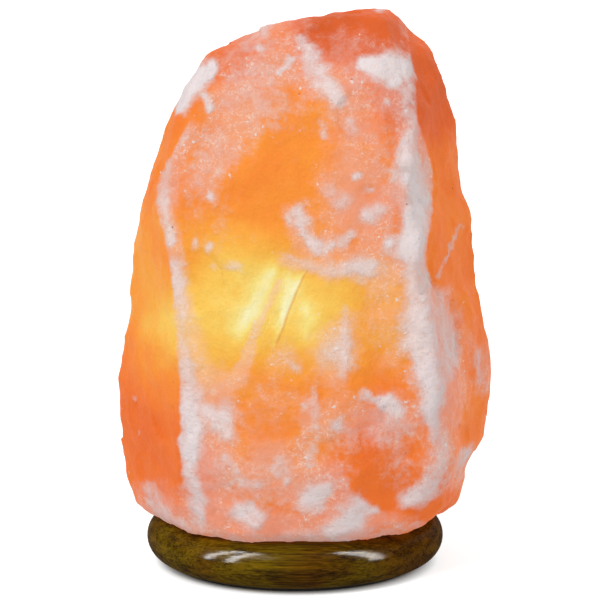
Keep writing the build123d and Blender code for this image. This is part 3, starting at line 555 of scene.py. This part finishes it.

# Small painted glints, bright flecks where single grains would catch the light, and a few dark specks of clay.
bent = add(tree, "ShaderNodeTexNoise", {"Vector": place, "Scale": 1 / (bend_patch * MM), "Detail": 2.0})
bent = {0: bent.outputs["Color"], 1: (grain_bend * MM,) * 3, 2: place}
bent = add(tree, "ShaderNodeVectorMath", bent, operation="MULTIPLY_ADD")
grains = add(tree, "ShaderNodeTexVoronoi", {"Vector": bent, "Scale": 1 / (coarse_grain * MM)})
glint_spot = {"Value": grains, "From Min": 0.05, "From Max": 0.22, "To Min": 0.8, "To Max": 0.0}
glint_spot = add(tree, "ShaderNodeMapRange", glint_spot, interpolation_type="SMOOTHSTEP")
pick = add(tree, "ShaderNodeSeparateColor", {"Color": grains.outputs["Color"]})
crowd = {"Value": cloud, "From Min": 0.45, "From Max": 0.62, "To Min": 1.0, "To Max": 0.5}
crowd = add(tree, "ShaderNodeMapRange", crowd)
chosen = add(tree, "ShaderNodeMath", {0: pick, 1: crowd}, operation="GREATER_THAN")
painted_glints = add(tree, "ShaderNodeMath", {0: glint_spot, 1: chosen}, operation="MULTIPLY")
clay = add(tree, "ShaderNodeTexVoronoi", {"Vector": place, "Scale": 1 / (clay_gap * MM)})
specks = {"Value": clay, "From Min": 0.02, "From Max": 0.035, "To Min": 0.6, "To Max": 0.0}
specks = add(tree, "ShaderNodeMapRange", specks)

# Painted highlights along fine creases, where the thin frost is crinkled: they lie where a noise passes through its
# middle.
crinkle = {"Vector": bent, "Scale": 1 / (crease_gap * MM), "Detail": 3.0, "Distortion": 0.8}
crinkle = add(tree, "ShaderNodeTexNoise", crinkle)
crinkle = add(tree, "ShaderNodeMath", {0: crinkle, 1: 0.5}, operation="SUBTRACT")
crinkle = add(tree, "ShaderNodeMath", {0: crinkle}, operation="ABSOLUTE")
crease_highlights = {"Value": crinkle, "From Min": 0.0, "From Max": 0.025, "To Min": 0.85, "To Max": 0.0}
crease_highlights = add(tree, "ShaderNodeMapRange", crease_highlights)
gathered = add(tree, "ShaderNodeMapRange", {"Value": cloud, "From Min": 0.4, "From Max": 0.56})
crease_highlights = add(tree, "ShaderNodeMath", {0: crease_highlights, 1: gathered}, operation="MULTIPLY")

# The edges of both frosts break up at the size of the cracks in them, and again at the size of the grains.
thin_edge = add(tree, "ShaderNodeMath", {0: ragged, 1: 0.9, 2: -0.42}, operation="MULTIPLY_ADD")
thin_edge = add(tree, "ShaderNodeMath", {0: veil_here, 1: thin_edge}, operation="ADD")
thin_edge = add(tree, "ShaderNodeMath", {0: painted_glints, 1: 0.3, 2: thin_edge}, operation="MULTIPLY_ADD")
thin = {"Value": thin_edge, "From Min": 0.14, "From Max": 0.66}
thin = add(tree, "ShaderNodeMapRange", thin, interpolation_type="SMOOTHSTEP")
painted_glint_share = add(tree, "ShaderNodeMath", {0: painted_glints, 1: thin}, operation="MULTIPLY")
painted_crease_highlight = add(tree, "ShaderNodeMath", {0: crease_highlights, 1: thin}, operation="MULTIPLY")
rough_edge = add(tree, "ShaderNodeMath", {0: ragged, 1: 0.9, 2: -0.45}, operation="MULTIPLY_ADD")
rough_edge = add(tree, "ShaderNodeMath", {0: sugar, 1: 0.45, 2: rough_edge}, operation="MULTIPLY_ADD")
rough_edge = add(tree, "ShaderNodeMath", {0: rough_edge, 1: 0.22}, operation="SUBTRACT")
dense_edge = add(tree, "ShaderNodeMath", {0: frost_here, 1: rough_edge}, operation="ADD")
dense_edge = add(tree, "ShaderNodeMath", {0: painted_glint_share, 1: 0.5, 2: dense_edge}, operation="MULTIPLY_ADD")
crisp = {"Value": dense_edge, "From Min": 0.24, "From Max": 0.86}
crisp = add(tree, "ShaderNodeMapRange", crisp, interpolation_type="SMOOTHSTEP")
body = {"Value": frost_here, "From Min": 0.3, "From Max": 0.9, "To Min": 0.5, "To Max": 1.0}
body = add(tree, "ShaderNodeMapRange", body)
frosted = add(tree, "ShaderNodeMath", {0: crisp, 1: body}, operation="MULTIPLY")

# The clear salt runs from dark orange to bright yellow with the painted glow, with a little tone at random. It is
# painted lighter just left of the crack, a band of painted light, and the crack itself is a thin brown line.
painted_glow_and_tone = add(tree, "ShaderNodeMath", {0: cloud, 1: 0.3, 2: painted_glow_here}, operation="MULTIPLY_ADD")
painted_glow_and_tone = add(tree, "ShaderNodeMath", {0: sugar, 1: 0.07, 2: painted_glow_and_tone}, operation="MULTIPLY_ADD")
painted_glow_and_tone = add(tree, "ShaderNodeMath", {0: painted_glow_and_tone, 1: 0.195}, operation="SUBTRACT")
lit_side = {"Value": crack_here, "From Min": -3.5, "From Max": 0.0, "To Min": 0.0, "To Max": 0.1}
lit_side = add(tree, "ShaderNodeMapRange", lit_side)
beside = add(tree, "ShaderNodeMath", {0: crack_here, 1: 0.0}, operation="LESS_THAN")
lit_side = add(tree, "ShaderNodeMath", {0: lit_side, 1: beside, 2: painted_glow_and_tone}, operation="MULTIPLY_ADD")
clear = add(tree, "ShaderNodeValToRGB", {"Fac": lit_side}, stops=[
    (0.0, "#CF5724"), (0.2, "#EC682A"), (0.4, "#FA7E30"), (0.55, "#FE9636"),
    (0.7, "#FFB344"), (0.82, "#FFCD5C"), (0.92, "#FFE583"), (1.0, "#FFF7BE"),
])
line = add(tree, "ShaderNodeMath", {0: crack_here}, operation="ABSOLUTE")
line = {"Value": line, "From Min": 0.15, "From Max": 0.8, "To Min": 0.55, "To Max": 0.0}
line = add(tree, "ShaderNodeMapRange", line)
clear = add(tree, "ShaderNodeMix", {0: line, 6: clear, 7: linear("#E89A3E")}, data_type="RGBA").outputs[2]

# Thin frost lets half of the clear salt's colour through, dense frost covers it, and both are painted warmer where
# the painted glow is strong, near the bulb.
painted_bulb_warmth = add(tree, "ShaderNodeMapRange", {"Value": painted_glow_here, "From Min": 0.45, "From Max": 0.95})
pink = {0: painted_bulb_warmth, 6: linear("#EEB0A2"), 7: linear("#FFCBA8")}
pink = add(tree, "ShaderNodeMix", pink, data_type="RGBA").outputs[2]
salmon = add(tree, "ShaderNodeMix", {0: 0.5, 6: clear, 7: pink}, data_type="RGBA").outputs[2]
white = {0: painted_bulb_warmth, 6: linear("#F0E2E2"), 7: linear("#FAD8CA")}
white = add(tree, "ShaderNodeMix", white, data_type="RGBA").outputs[2]
colour = clear
for share, upper in (
    (thin, salmon),
    (frosted, white),
    # Painted highlights along the frost's crinkles.
    (painted_crease_highlight, linear("#FADFD0")),
    # Painted glints on single grains.
    (painted_glint_share, linear("#F8EEEA")),
    (specks, linear("#6E3F28")),
):
    colour = add(tree, "ShaderNodeMix", {0: share, 6: colour, 7: upper}, data_type="RGBA").outputs[2]

# The bulb's light through the salt is painted as emission, and what it emits it doesn't reflect: about half in the
# clear salt, and less in the frost.
lit_frost = add(tree, "ShaderNodeMath", {0: painted_bulb_warmth, 1: 0.24, 2: 0.2}, operation="MULTIPLY_ADD")
painted_glow_emission = add(tree, "ShaderNodeMapRange", {"Value": frosted, "To Min": 0.52, "To Max": lit_frost})
reflected = add(tree, "ShaderNodeMath", {0: 1.0, 1: painted_glow_emission}, operation="SUBTRACT")
base = add(tree, "ShaderNodeMix", {0: reflected, 6: linear("#000000"), 7: colour}, data_type="RGBA").outputs[2]
matt = add(tree, "ShaderNodeMapRange", {"Value": frosted, "To Min": 0.46, "To Max": 0.78})

# Dents at the size of the cracks, lumps, the frost's crust and the grit of the grains, one on the other.
lumps = {"Vector": place, "Scale": 1 / (lump_patch * MM), "Detail": 5.0, "Roughness": 0.62}
lumps = add(tree, "ShaderNodeTexNoise", lumps)
bumps = add(tree, "ShaderNodeBump", {"Height": ragged, "Distance": 1.6 * MM, "Strength": 0.8})
for pattern, rise, strength in ((lumps, 0.9, 1.0), (frosted, 0.45, 0.8), (sugar, 0.3, 0.8)):
    bumps = {"Height": pattern, "Distance": rise * MM, "Strength": strength, "Normal": bumps}
    bumps = add(tree, "ShaderNodeBump", bumps)
join(tree, shader, {
    "Base Color": base,
    "Roughness": matt,
    "IOR": 1.544,
    "Specular IOR Level": 0.12,
    "Normal": bumps,
    "Emission Color": colour,
    "Emission Strength": painted_glow_emission,
})


def new_group(name, sizes):
    """A Geometry Nodes group that takes geometry and these named sizes, and what its inputs give."""
    group = bpy.data.node_groups.new(name, "GeometryNodeTree")
    for way in ("OUTPUT", "INPUT"):
        group.interface.new_socket("Geometry", in_out=way, socket_type="NodeSocketGeometry")
    for size in sizes:
        group.interface.new_socket(size, in_out="INPUT", socket_type="NodeSocketFloat")
    return group, add(group, "NodeGroupInput").outputs


def run_group(piece, group, geometry, material, sizes):
    """Ends a group with real geometry in one material, and makes its result with these sizes the piece's mesh."""
    whole = add(group, "GeometryNodeRealizeInstances", {"Geometry": geometry})
    covered = add(group, "GeometryNodeSetMaterial", {"Geometry": whole, "Material": material})
    add(group, "NodeGroupOutput", {"Geometry": covered})
    run = piece.modifiers.new(group.name, "NODES")
    run.node_group = group
    for item in group.interface.items_tree:
        if item.in_out == "INPUT" and item.name in sizes:
            run[item.identifier] = sizes[item.name]
    made_plain(piece)


# Lumps and the scars of chips on the broken skin, made in Geometry Nodes from their real sizes. A scar is a shallow
# bowl round each point of a Voronoi pattern, and the bore, the foot and the plug holes stay plain.
skin_sizes = {
    "Lump size": 17 * MM, "Lump height": 1.9 * MM, "Chip size": 9.0 * MM, "Chip height": 1.2 * MM,
    "Swell": 0.8 * MM, "Seed": 3.0,
}
skin_tree, given = new_group("broken_salt_skin", skin_sizes)
where = add(skin_tree, "GeometryNodeInputPosition")
facing_out = add(skin_tree, "GeometryNodeInputNormal")
masked = add(skin_tree, "GeometryNodeInputNamedAttribute", {"Name": "skin"}, data_type="FLOAT").outputs["Attribute"]
often = add(skin_tree, "ShaderNodeMath", {0: 1.0, 1: given["Lump size"]}, operation="DIVIDE")
seeded = {"Vector": where, "W": given["Seed"], "Detail": 2.0}
lump = add(skin_tree, "ShaderNodeTexNoise", {**seeded, "Scale": often}, noise_dimensions="4D")
lump = add(skin_tree, "ShaderNodeMath", {0: lump, 1: 0.5}, operation="SUBTRACT")
rise_by = {0: lump, 1: given["Lump height"], 2: given["Swell"]}
rise_by = add(skin_tree, "ShaderNodeMath", rise_by, operation="MULTIPLY_ADD")
often = add(skin_tree, "ShaderNodeMath", {0: 1.0, 1: given["Chip size"]}, operation="DIVIDE")
swirl = add(skin_tree, "ShaderNodeTexNoise", {**seeded, "Scale": often}, noise_dimensions="4D").outputs["Color"]
strewn = {0: swirl, 1: given["Chip size"], 2: where}
strewn = add(skin_tree, "ShaderNodeVectorMath", strewn, operation="MULTIPLY_ADD")
scar = add(skin_tree, "ShaderNodeTexVoronoi", {"Vector": strewn, "Scale": often})
scar = add(skin_tree, "ShaderNodeMath", {0: scar, 1: scar, 2: -0.25}, operation="MULTIPLY_ADD")
rise_by = {0: scar, 1: given["Chip height"], 2: rise_by}
rise_by = add(skin_tree, "ShaderNodeMath", rise_by, operation="MULTIPLY_ADD")
rise_by = add(skin_tree, "ShaderNodeMath", {0: rise_by, 1: masked}, operation="MULTIPLY")
shift = add(skin_tree, "ShaderNodeVectorMath", {0: facing_out, "Scale": rise_by}, operation="SCALE")
moved = add(skin_tree, "GeometryNodeSetPosition", {"Geometry": given["Geometry"], "Offset": shift})
run_group(crystal, skin_tree, moved, salt, skin_sizes)
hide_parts("salt_crystal")
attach(crystal, "stand")


# ---------------------------------------------------------------- plugs, washers and screws of the crystal
# Three nylon plugs sit in holes drilled up into the salt, and pan-head screws with washers hold the base to them.
# The plugs are moulded in natural nylon, milky and satin; the steel is zinc plated, blue-grey with small spangles.

nylon = drift("natural_nylon", "#D8D3C6", "#EAE6DC", patch=3.0, gloss=(0.42, 0.55), relief=0.03, ior=1.53)
dress("screw_plugs", nylon)
zinc = drift("zinc_plated_steel", "#8B9299", "#C6CBD0", patch=1.6, gloss=(0.26, 0.44), relief=0.02, metallic=1.0)
dress("screw_washers", zinc)
dress("crystal_screws", zinc)


# ---------------------------------------------------------------- holder plate
# A disc pressed from sheet steel, with four lugs bent up for the wire wings, and nickel plated.
# Nickel is a warm silver, and the rolling of the sheet leaves faint lines across it.

nickel = drift(
    "nickel_plated_sheet", "#A39D90", "#CFCABD",
    patch=2.2, gloss=(0.2, 0.36), relief=0.015, metallic=1.0, lie=(7, 1, 1),
)
dress("holder_plate", nickel)


# ---------------------------------------------------------------- spring wings
# Two loops of hard-drawn spring wire, sprung out against the wall of the bore, with their ends turned into the
# lugs. Drawing leaves the wire bright, with fine lines along it.

wing_wire = drift(
    "drawn_spring_wire", "#7F8387", "#C2C5C8",
    patch=1.2, gloss=(0.22, 0.4), relief=0.02, metallic=1.0, lie=(1, 5, 8),
)
dress("spring_wing_left", wing_wire)
dress("spring_wing_right", wing_wire)


# ---------------------------------------------------------------- nipple and its nuts
# A hollow nipple clamps plate and lampholder between two thin hexagon nuts, and lets the cord in.
# All three are turned or punched from steel and zinc plated, so they shine a little more than the screws.

nipple_zinc = drift(
    "bright_zinc_plated_steel", "#9AA0A4", "#D2D5D6",
    patch=2.4, gloss=(0.2, 0.34), relief=0.02, metallic=1.0,
)
for node in ("cord_nipple", "lower_nipple_nut", "upper_nipple_nut"):
    dress(node, nipple_zinc)


# ---------------------------------------------------------------- lampholder cap and skirt
# The cap sits on the plate, and the fluted skirt goes over its spigot and holds the contact block down.
# Both are moulded in black phenolic resin: hard and glossy, with a faint brown flow in the black.

phenolic = drift("black_phenolic", "#0E0D0C", "#1F1B18", patch=5.0, gloss=(0.2, 0.34), relief=0.02, ior=1.6)
dress("lampholder_cap", phenolic)
dress("lampholder_skirt", phenolic)


# ---------------------------------------------------------------- contact block
# The insulating core, pressed from steatite powder and fired without a glaze, with a well for the screw shell.
# It is white, matt and finely grained.

steatite = drift("fired_steatite", "#D9D5CC", "#EFECE4", patch=1.5, gloss=(0.6, 0.78), relief=0.05, ior=1.55)
dress("contact_block", steatite)


# ---------------------------------------------------------------- screw shell, terminals, tongue and their screws
# The shell is rolled and the strips are punched from brass sheet, left bare, so they are tarnished in patches. The
# tongue is springy and presses on the bulb's contact, and a plated screw in each terminal clamps the cord.

brass = drift(
    "rolled_brass_sheet", "#A97F35", "#DDBB6C",
    patch=2.8, gloss=(0.2, 0.42), relief=0.015, metallic=1.0, lie=(1, 1, 3),
)
for node in ("screw_shell", "centre_terminal", "contact_tongue"):
    dress(node, brass)
dress("terminal_screws", zinc)


# ---------------------------------------------------------------- bulb: contact, insulator and cap
# The contact is a button of dull lead-free solder, and the insulator round it is pressed black glass.
# The cap is thin brass, nickel plated, with its thread rolled in.

solder = drift("dull_solder", "#8A8A86", "#BDBDB8", patch=0.9, gloss=(0.34, 0.55), relief=0.05, metallic=1.0)
dress("bulb_contact", solder)
black_glass = drift("black_glass", "#070708", "#141416", patch=2.5, gloss=(0.06, 0.16), relief=0.02, ior=1.52)
dress("bulb_insulator", black_glass)
cap_nickel = drift(
    "nickel_plated_brass", "#A8A499", "#D6D2C6",
    patch=2.0, gloss=(0.18, 0.32), relief=0.015, metallic=1.0, lie=(1, 1, 3),
)
dress("bulb_cap", cap_nickel)


# ---------------------------------------------------------------- bulb: glass and stem
# The envelope is drawn soda-lime tube, domed at the top and sealed to a stem of lead glass that holds the wires.
# Both are clear, and drawing leaves very slow waves in the wall.

for node, name, tint, wave in (
    ("bulb_glass", "clear_soda_glass", "#FFF8EE", 9.0),
    ("bulb_stem", "clear_lead_glass", "#F4F8F4", 4.0),
):
    glass, tree, shader, place = new_finish(name)
    drawn = add(tree, "ShaderNodeTexNoise", {"Vector": place, "Scale": 1 / (wave * MM), "Detail": 1.0})
    haze = {"Value": drawn, "From Min": 0.3, "From Max": 0.7, "To Min": 0.01, "To Max": 0.05}
    join(tree, shader, {
        "Base Color": linear(tint),
        "Roughness": add(tree, "ShaderNodeMapRange", haze),
        "IOR": 1.51,
        "Transmission Weight": 1.0,
        "Normal": add(tree, "ShaderNodeBump", {"Height": drawn, "Distance": 0.05 * MM, "Strength": 0.6}),
    })
    dress(node, glass)


# ---------------------------------------------------------------- bulb: leads and filament
# Two nickel-iron leads hold a coil of tungsten wire, which stands in two slopes over the stem. The coil is wound in
# Geometry Nodes round a core laid within the CAD wire's box, and drawn coarser than the real one, so that it shows.

lead_wire = drift(
    "nickel_iron_wire", "#77787A", "#B4B5B6",
    patch=0.8, gloss=(0.3, 0.45), relief=0.01, metallic=1.0, lie=(1, 1, 6),
)
dress("bulb_leads", lead_wire)

# Drawn tungsten, which glows a yellow white, a little unevenly along the wire.
tungsten, tree, shader, place = new_finish("glowing_tungsten")
along = add(tree, "ShaderNodeTexNoise", {"Vector": place, "Scale": 1 / (2.5 * MM), "Detail": 2.0})
join(tree, shader, {
    "Base Color": linear("#55504A"),
    "Metallic": 1.0,
    "Roughness": 0.4,
    "Emission Color": add(tree, "ShaderNodeValToRGB", {"Fac": along}, stops=[(0.3, "#FFB45A"), (0.7, "#FFE7B0")]),
    "Emission Strength": 6.0,
})

low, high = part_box("bulb_filament")
core_radius = (high.y - low.y) / 2
wire_radius = 0.07 * MM
steps_a_turn, wire_sides = 12.0, 6
coil_sizes = {"Turns": 44.0, "Coil radius": core_radius - wire_radius, "Wire radius": wire_radius}

coil_tree, given = new_group("wound_coil", coil_sizes)
core = add(coil_tree, "GeometryNodeMeshToCurve", {"Mesh": given["Geometry"]})
count = add(coil_tree, "ShaderNodeMath", {0: given["Turns"], 1: steps_a_turn}, operation="MULTIPLY")
steps = add(coil_tree, "GeometryNodeResampleCurve", {"Curve": core, "Count": count})
part = add(coil_tree, "GeometryNodeSplineParameter").outputs["Factor"]
angle = add(coil_tree, "ShaderNodeMath", {0: part, 1: given["Turns"]}, operation="MULTIPLY")
angle = add(coil_tree, "ShaderNodeMath", {0: angle, 1: 2 * math.pi}, operation="MULTIPLY")
tangent = add(coil_tree, "GeometryNodeInputTangent")
up = add(coil_tree, "ShaderNodeVectorMath", {0: tangent, 1: (0, 1, 0)}, operation="CROSS_PRODUCT")
side_by = add(coil_tree, "ShaderNodeMath", {0: angle}, operation="COSINE")
up_by = add(coil_tree, "ShaderNodeMath", {0: angle}, operation="SINE")
side = add(coil_tree, "ShaderNodeVectorMath", {0: (0, 1, 0), "Scale": side_by}, operation="SCALE")
up = add(coil_tree, "ShaderNodeVectorMath", {0: up, "Scale": up_by}, operation="SCALE")
outward = add(coil_tree, "ShaderNodeVectorMath", {0: side, 1: up}, operation="ADD")
outward = add(coil_tree, "ShaderNodeVectorMath", {0: outward, "Scale": given["Coil radius"]}, operation="SCALE")
helix = add(coil_tree, "GeometryNodeSetPosition", {"Geometry": steps, "Offset": outward})
section = {"Resolution": wire_sides, "Radius": given["Wire radius"]}
section = add(coil_tree, "GeometryNodeCurvePrimitiveCircle", section)
wound = add(coil_tree, "GeometryNodeCurveToMesh", {"Curve": helix, "Profile Curve": section, "Fill Caps": True})

# The core rises from one lead to the middle and falls to the other: shares of the way across and of the way up.
rise = [(0.0, 0.0), (0.35, 0.36), (0.7, 0.72), (0.86, 0.9), (1.0, 1.0)]
foot = Vector((low.x + core_radius, 0, low.z + core_radius))
top = Vector((0, 0, high.z - core_radius))
left_slope = [(foot.x + (top.x - foot.x) * a, 0, foot.z + (top.z - foot.z) * b) for a, b in rise]
slopes = left_slope + [(-x, y, z) for x, y, z in reversed(left_slope[:-1])]
core_mesh = bpy.data.meshes.new("filament_coil")
core_mesh.from_pydata(slopes, [(k, k + 1) for k in range(len(slopes) - 1)], [])
coil = put("filament_coil", core_mesh)
run_group(coil, coil_tree, wound, tungsten, coil_sizes)
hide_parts("bulb_filament")
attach(coil, "bulb")


# ---------------------------------------------------------------- stage, light and camera
# A plain pale floor, an even sky, a soft sun from the upper left, a weak fill from the back right, and three tall
# windows that only the lacquer mirrors. The floor lets light through under the lamp, so the underside is lit too.

floor_reach, floor_gap = 9, 0.1 * MM
floor_return = 0.65
open_radius = 54 * MM
painted_shade_radius, pale_radius = 50 * MM, 58 * MM

corners = [(x * floor_reach, y * floor_reach, -floor_gap) for x, y in ((-1, -1), (1, -1), (1, 1), (-1, 1))]
floor_mesh = bpy.data.meshes.new("floor")
floor_mesh.from_pydata(corners, [], [(0, 1, 2, 3)])
floor = put("floor", floor_mesh)

# The floor sends back the share floor_return of the light, and a glow that the eye, mirrors and glass see makes it
# nearly white. Close to the axis only the eye's rays meet it, and from below none do.
pale, tree, shader, place = new_finish("pale_floor")
ray = add(tree, "ShaderNodeLightPath").outputs
seen = {0: ray["Is Glossy Ray"], 1: 0.3, 2: ray["Is Camera Ray"]}
seen = add(tree, "ShaderNodeMath", seen, operation="MULTIPLY_ADD")
seen = add(tree, "ShaderNodeMath", {0: seen, 1: ray["Is Transmission Ray"]}, operation="MAXIMUM")
from_axis = add(tree, "ShaderNodeVectorMath", {0: place}, operation="LENGTH").outputs["Value"]
# Close to the axis the glow fades out: painted shade on the floor under the base, seen through the cord groove.
lift = {"Value": from_axis, "From Min": painted_shade_radius, "From Max": pale_radius, "To Min": 0.0, "To Max": 0.7}
lift = add(tree, "ShaderNodeMapRange", lift)
lift = add(tree, "ShaderNodeMath", {0: seen, 1: lift}, operation="MULTIPLY")
join(tree, shader, {
    "Base Color": (floor_return, floor_return, floor_return, 1),
    "Roughness": 0.9,
    "Specular IOR Level": 0.0,
    "Emission Color": linear("#FFFFFF"),
    "Emission Strength": lift,
})
below = add(tree, "ShaderNodeNewGeometry").outputs["Backfacing"]
gone = add(tree, "ShaderNodeBsdfTransparent")
under = add(tree, "ShaderNodeMath", {0: from_axis, 1: open_radius}, operation="LESS_THAN")
under = add(tree, "ShaderNodeMath", {0: under, 1: ray["Is Camera Ray"]}, operation="SUBTRACT")
hidden = add(tree, "ShaderNodeMath", {0: under, 1: below}, operation="MAXIMUM", use_clamp=True)
either = add(tree, "ShaderNodeMixShader", {0: hidden, 1: shader, 2: gone})
join(tree, tree.nodes["Material Output"], {"Surface": either})
floor_mesh.materials.append(pale)

# The sky is white to the eye and through glass, darker low down in a mirror, and lights the lamp evenly.
sky = bpy.data.worlds.new("even_sky")
bpy.context.scene.world = sky
sky.use_nodes = True
tree = sky.node_tree
ray = add(tree, "ShaderNodeLightPath").outputs
seen = add(tree, "ShaderNodeMath", {0: ray["Is Camera Ray"], 1: ray["Is Glossy Ray"]}, operation="MAXIMUM")
seen = add(tree, "ShaderNodeMath", {0: seen, 1: ray["Is Transmission Ray"]}, operation="MAXIMUM")
upward = add(tree, "ShaderNodeTexCoord").outputs["Generated"]
upward = add(tree, "ShaderNodeSeparateXYZ", {0: upward}).outputs["Z"]
mirrored = {"Value": upward, "From Min": 0.15, "From Max": 0.75, "To Min": 0.3, "To Max": 1.0}
mirrored = add(tree, "ShaderNodeMapRange", mirrored)
mirror_only = {0: ray["Is Glossy Ray"], 1: ray["Is Transmission Ray"]}
mirror_only = add(tree, "ShaderNodeMath", mirror_only, operation="SUBTRACT", use_clamp=True)
shown = add(tree, "ShaderNodeMix", {0: mirror_only, 2: 1.0, 3: mirrored}, data_type="FLOAT")
level = add(tree, "ShaderNodeMix", {0: seen, 2: 0.56, 3: shown}, data_type="FLOAT")
join(tree, tree.nodes["Background"], {"Color": linear("#FFFFFF"), "Strength": level})


def aim(thing, place, target):
    """Puts a lamp or the camera at a place and turns it to look at the target."""
    thing.location = place
    thing.rotation_euler = (Vector(target) - Vector(place)).to_track_quat("-Z", "Y").to_euler()


for name, place, energy, spread in (
    ("soft_sun", (-1.1, -1.6, 2.2), 1.6, 22),
    ("soft_fill", (1.2, 1.8, 1.5), 0.45, 60),
):
    light = put(name, bpy.data.lights.new(name, "SUN"))
    light.data.energy, light.data.angle = energy, math.radians(spread)
    aim(light, place, (0, 0, 0.1))

lacquered = bpy.data.collections.new("lacquered")
lacquered.objects.link(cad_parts["wood_base"])
for name, place, size, power in (
    ("window_left", (-1.1, -0.42, 0.85), (0.14, 1.5), 130.0),
    ("window_left_pane", (-0.86, -0.72, 0.85), (0.14, 1.5), 130.0),
    ("window_right", (0.98, -0.47, 0.85), (0.28, 1.5), 175.0),
):
    window = put(name, bpy.data.lights.new(name, "AREA"))
    window.data.shape, window.data.size, window.data.size_y, window.data.energy = "RECTANGLE", *size, power
    window.visible_diffuse = False
    window.light_linking.receiver_collection = lacquered
    aim(window, place, (0, -0.04, 0.02))

photo_aim = Vector((2.01, 0, 106.7)) * MM
camera = put("camera", bpy.data.cameras.new("camera"))
camera.data.lens, camera.data.sensor_width = 197.9, 36
aim(camera, photo_eye, photo_aim)
bpy.context.scene.camera = camera
bpy.context.scene.view_settings.view_transform = "Standard"
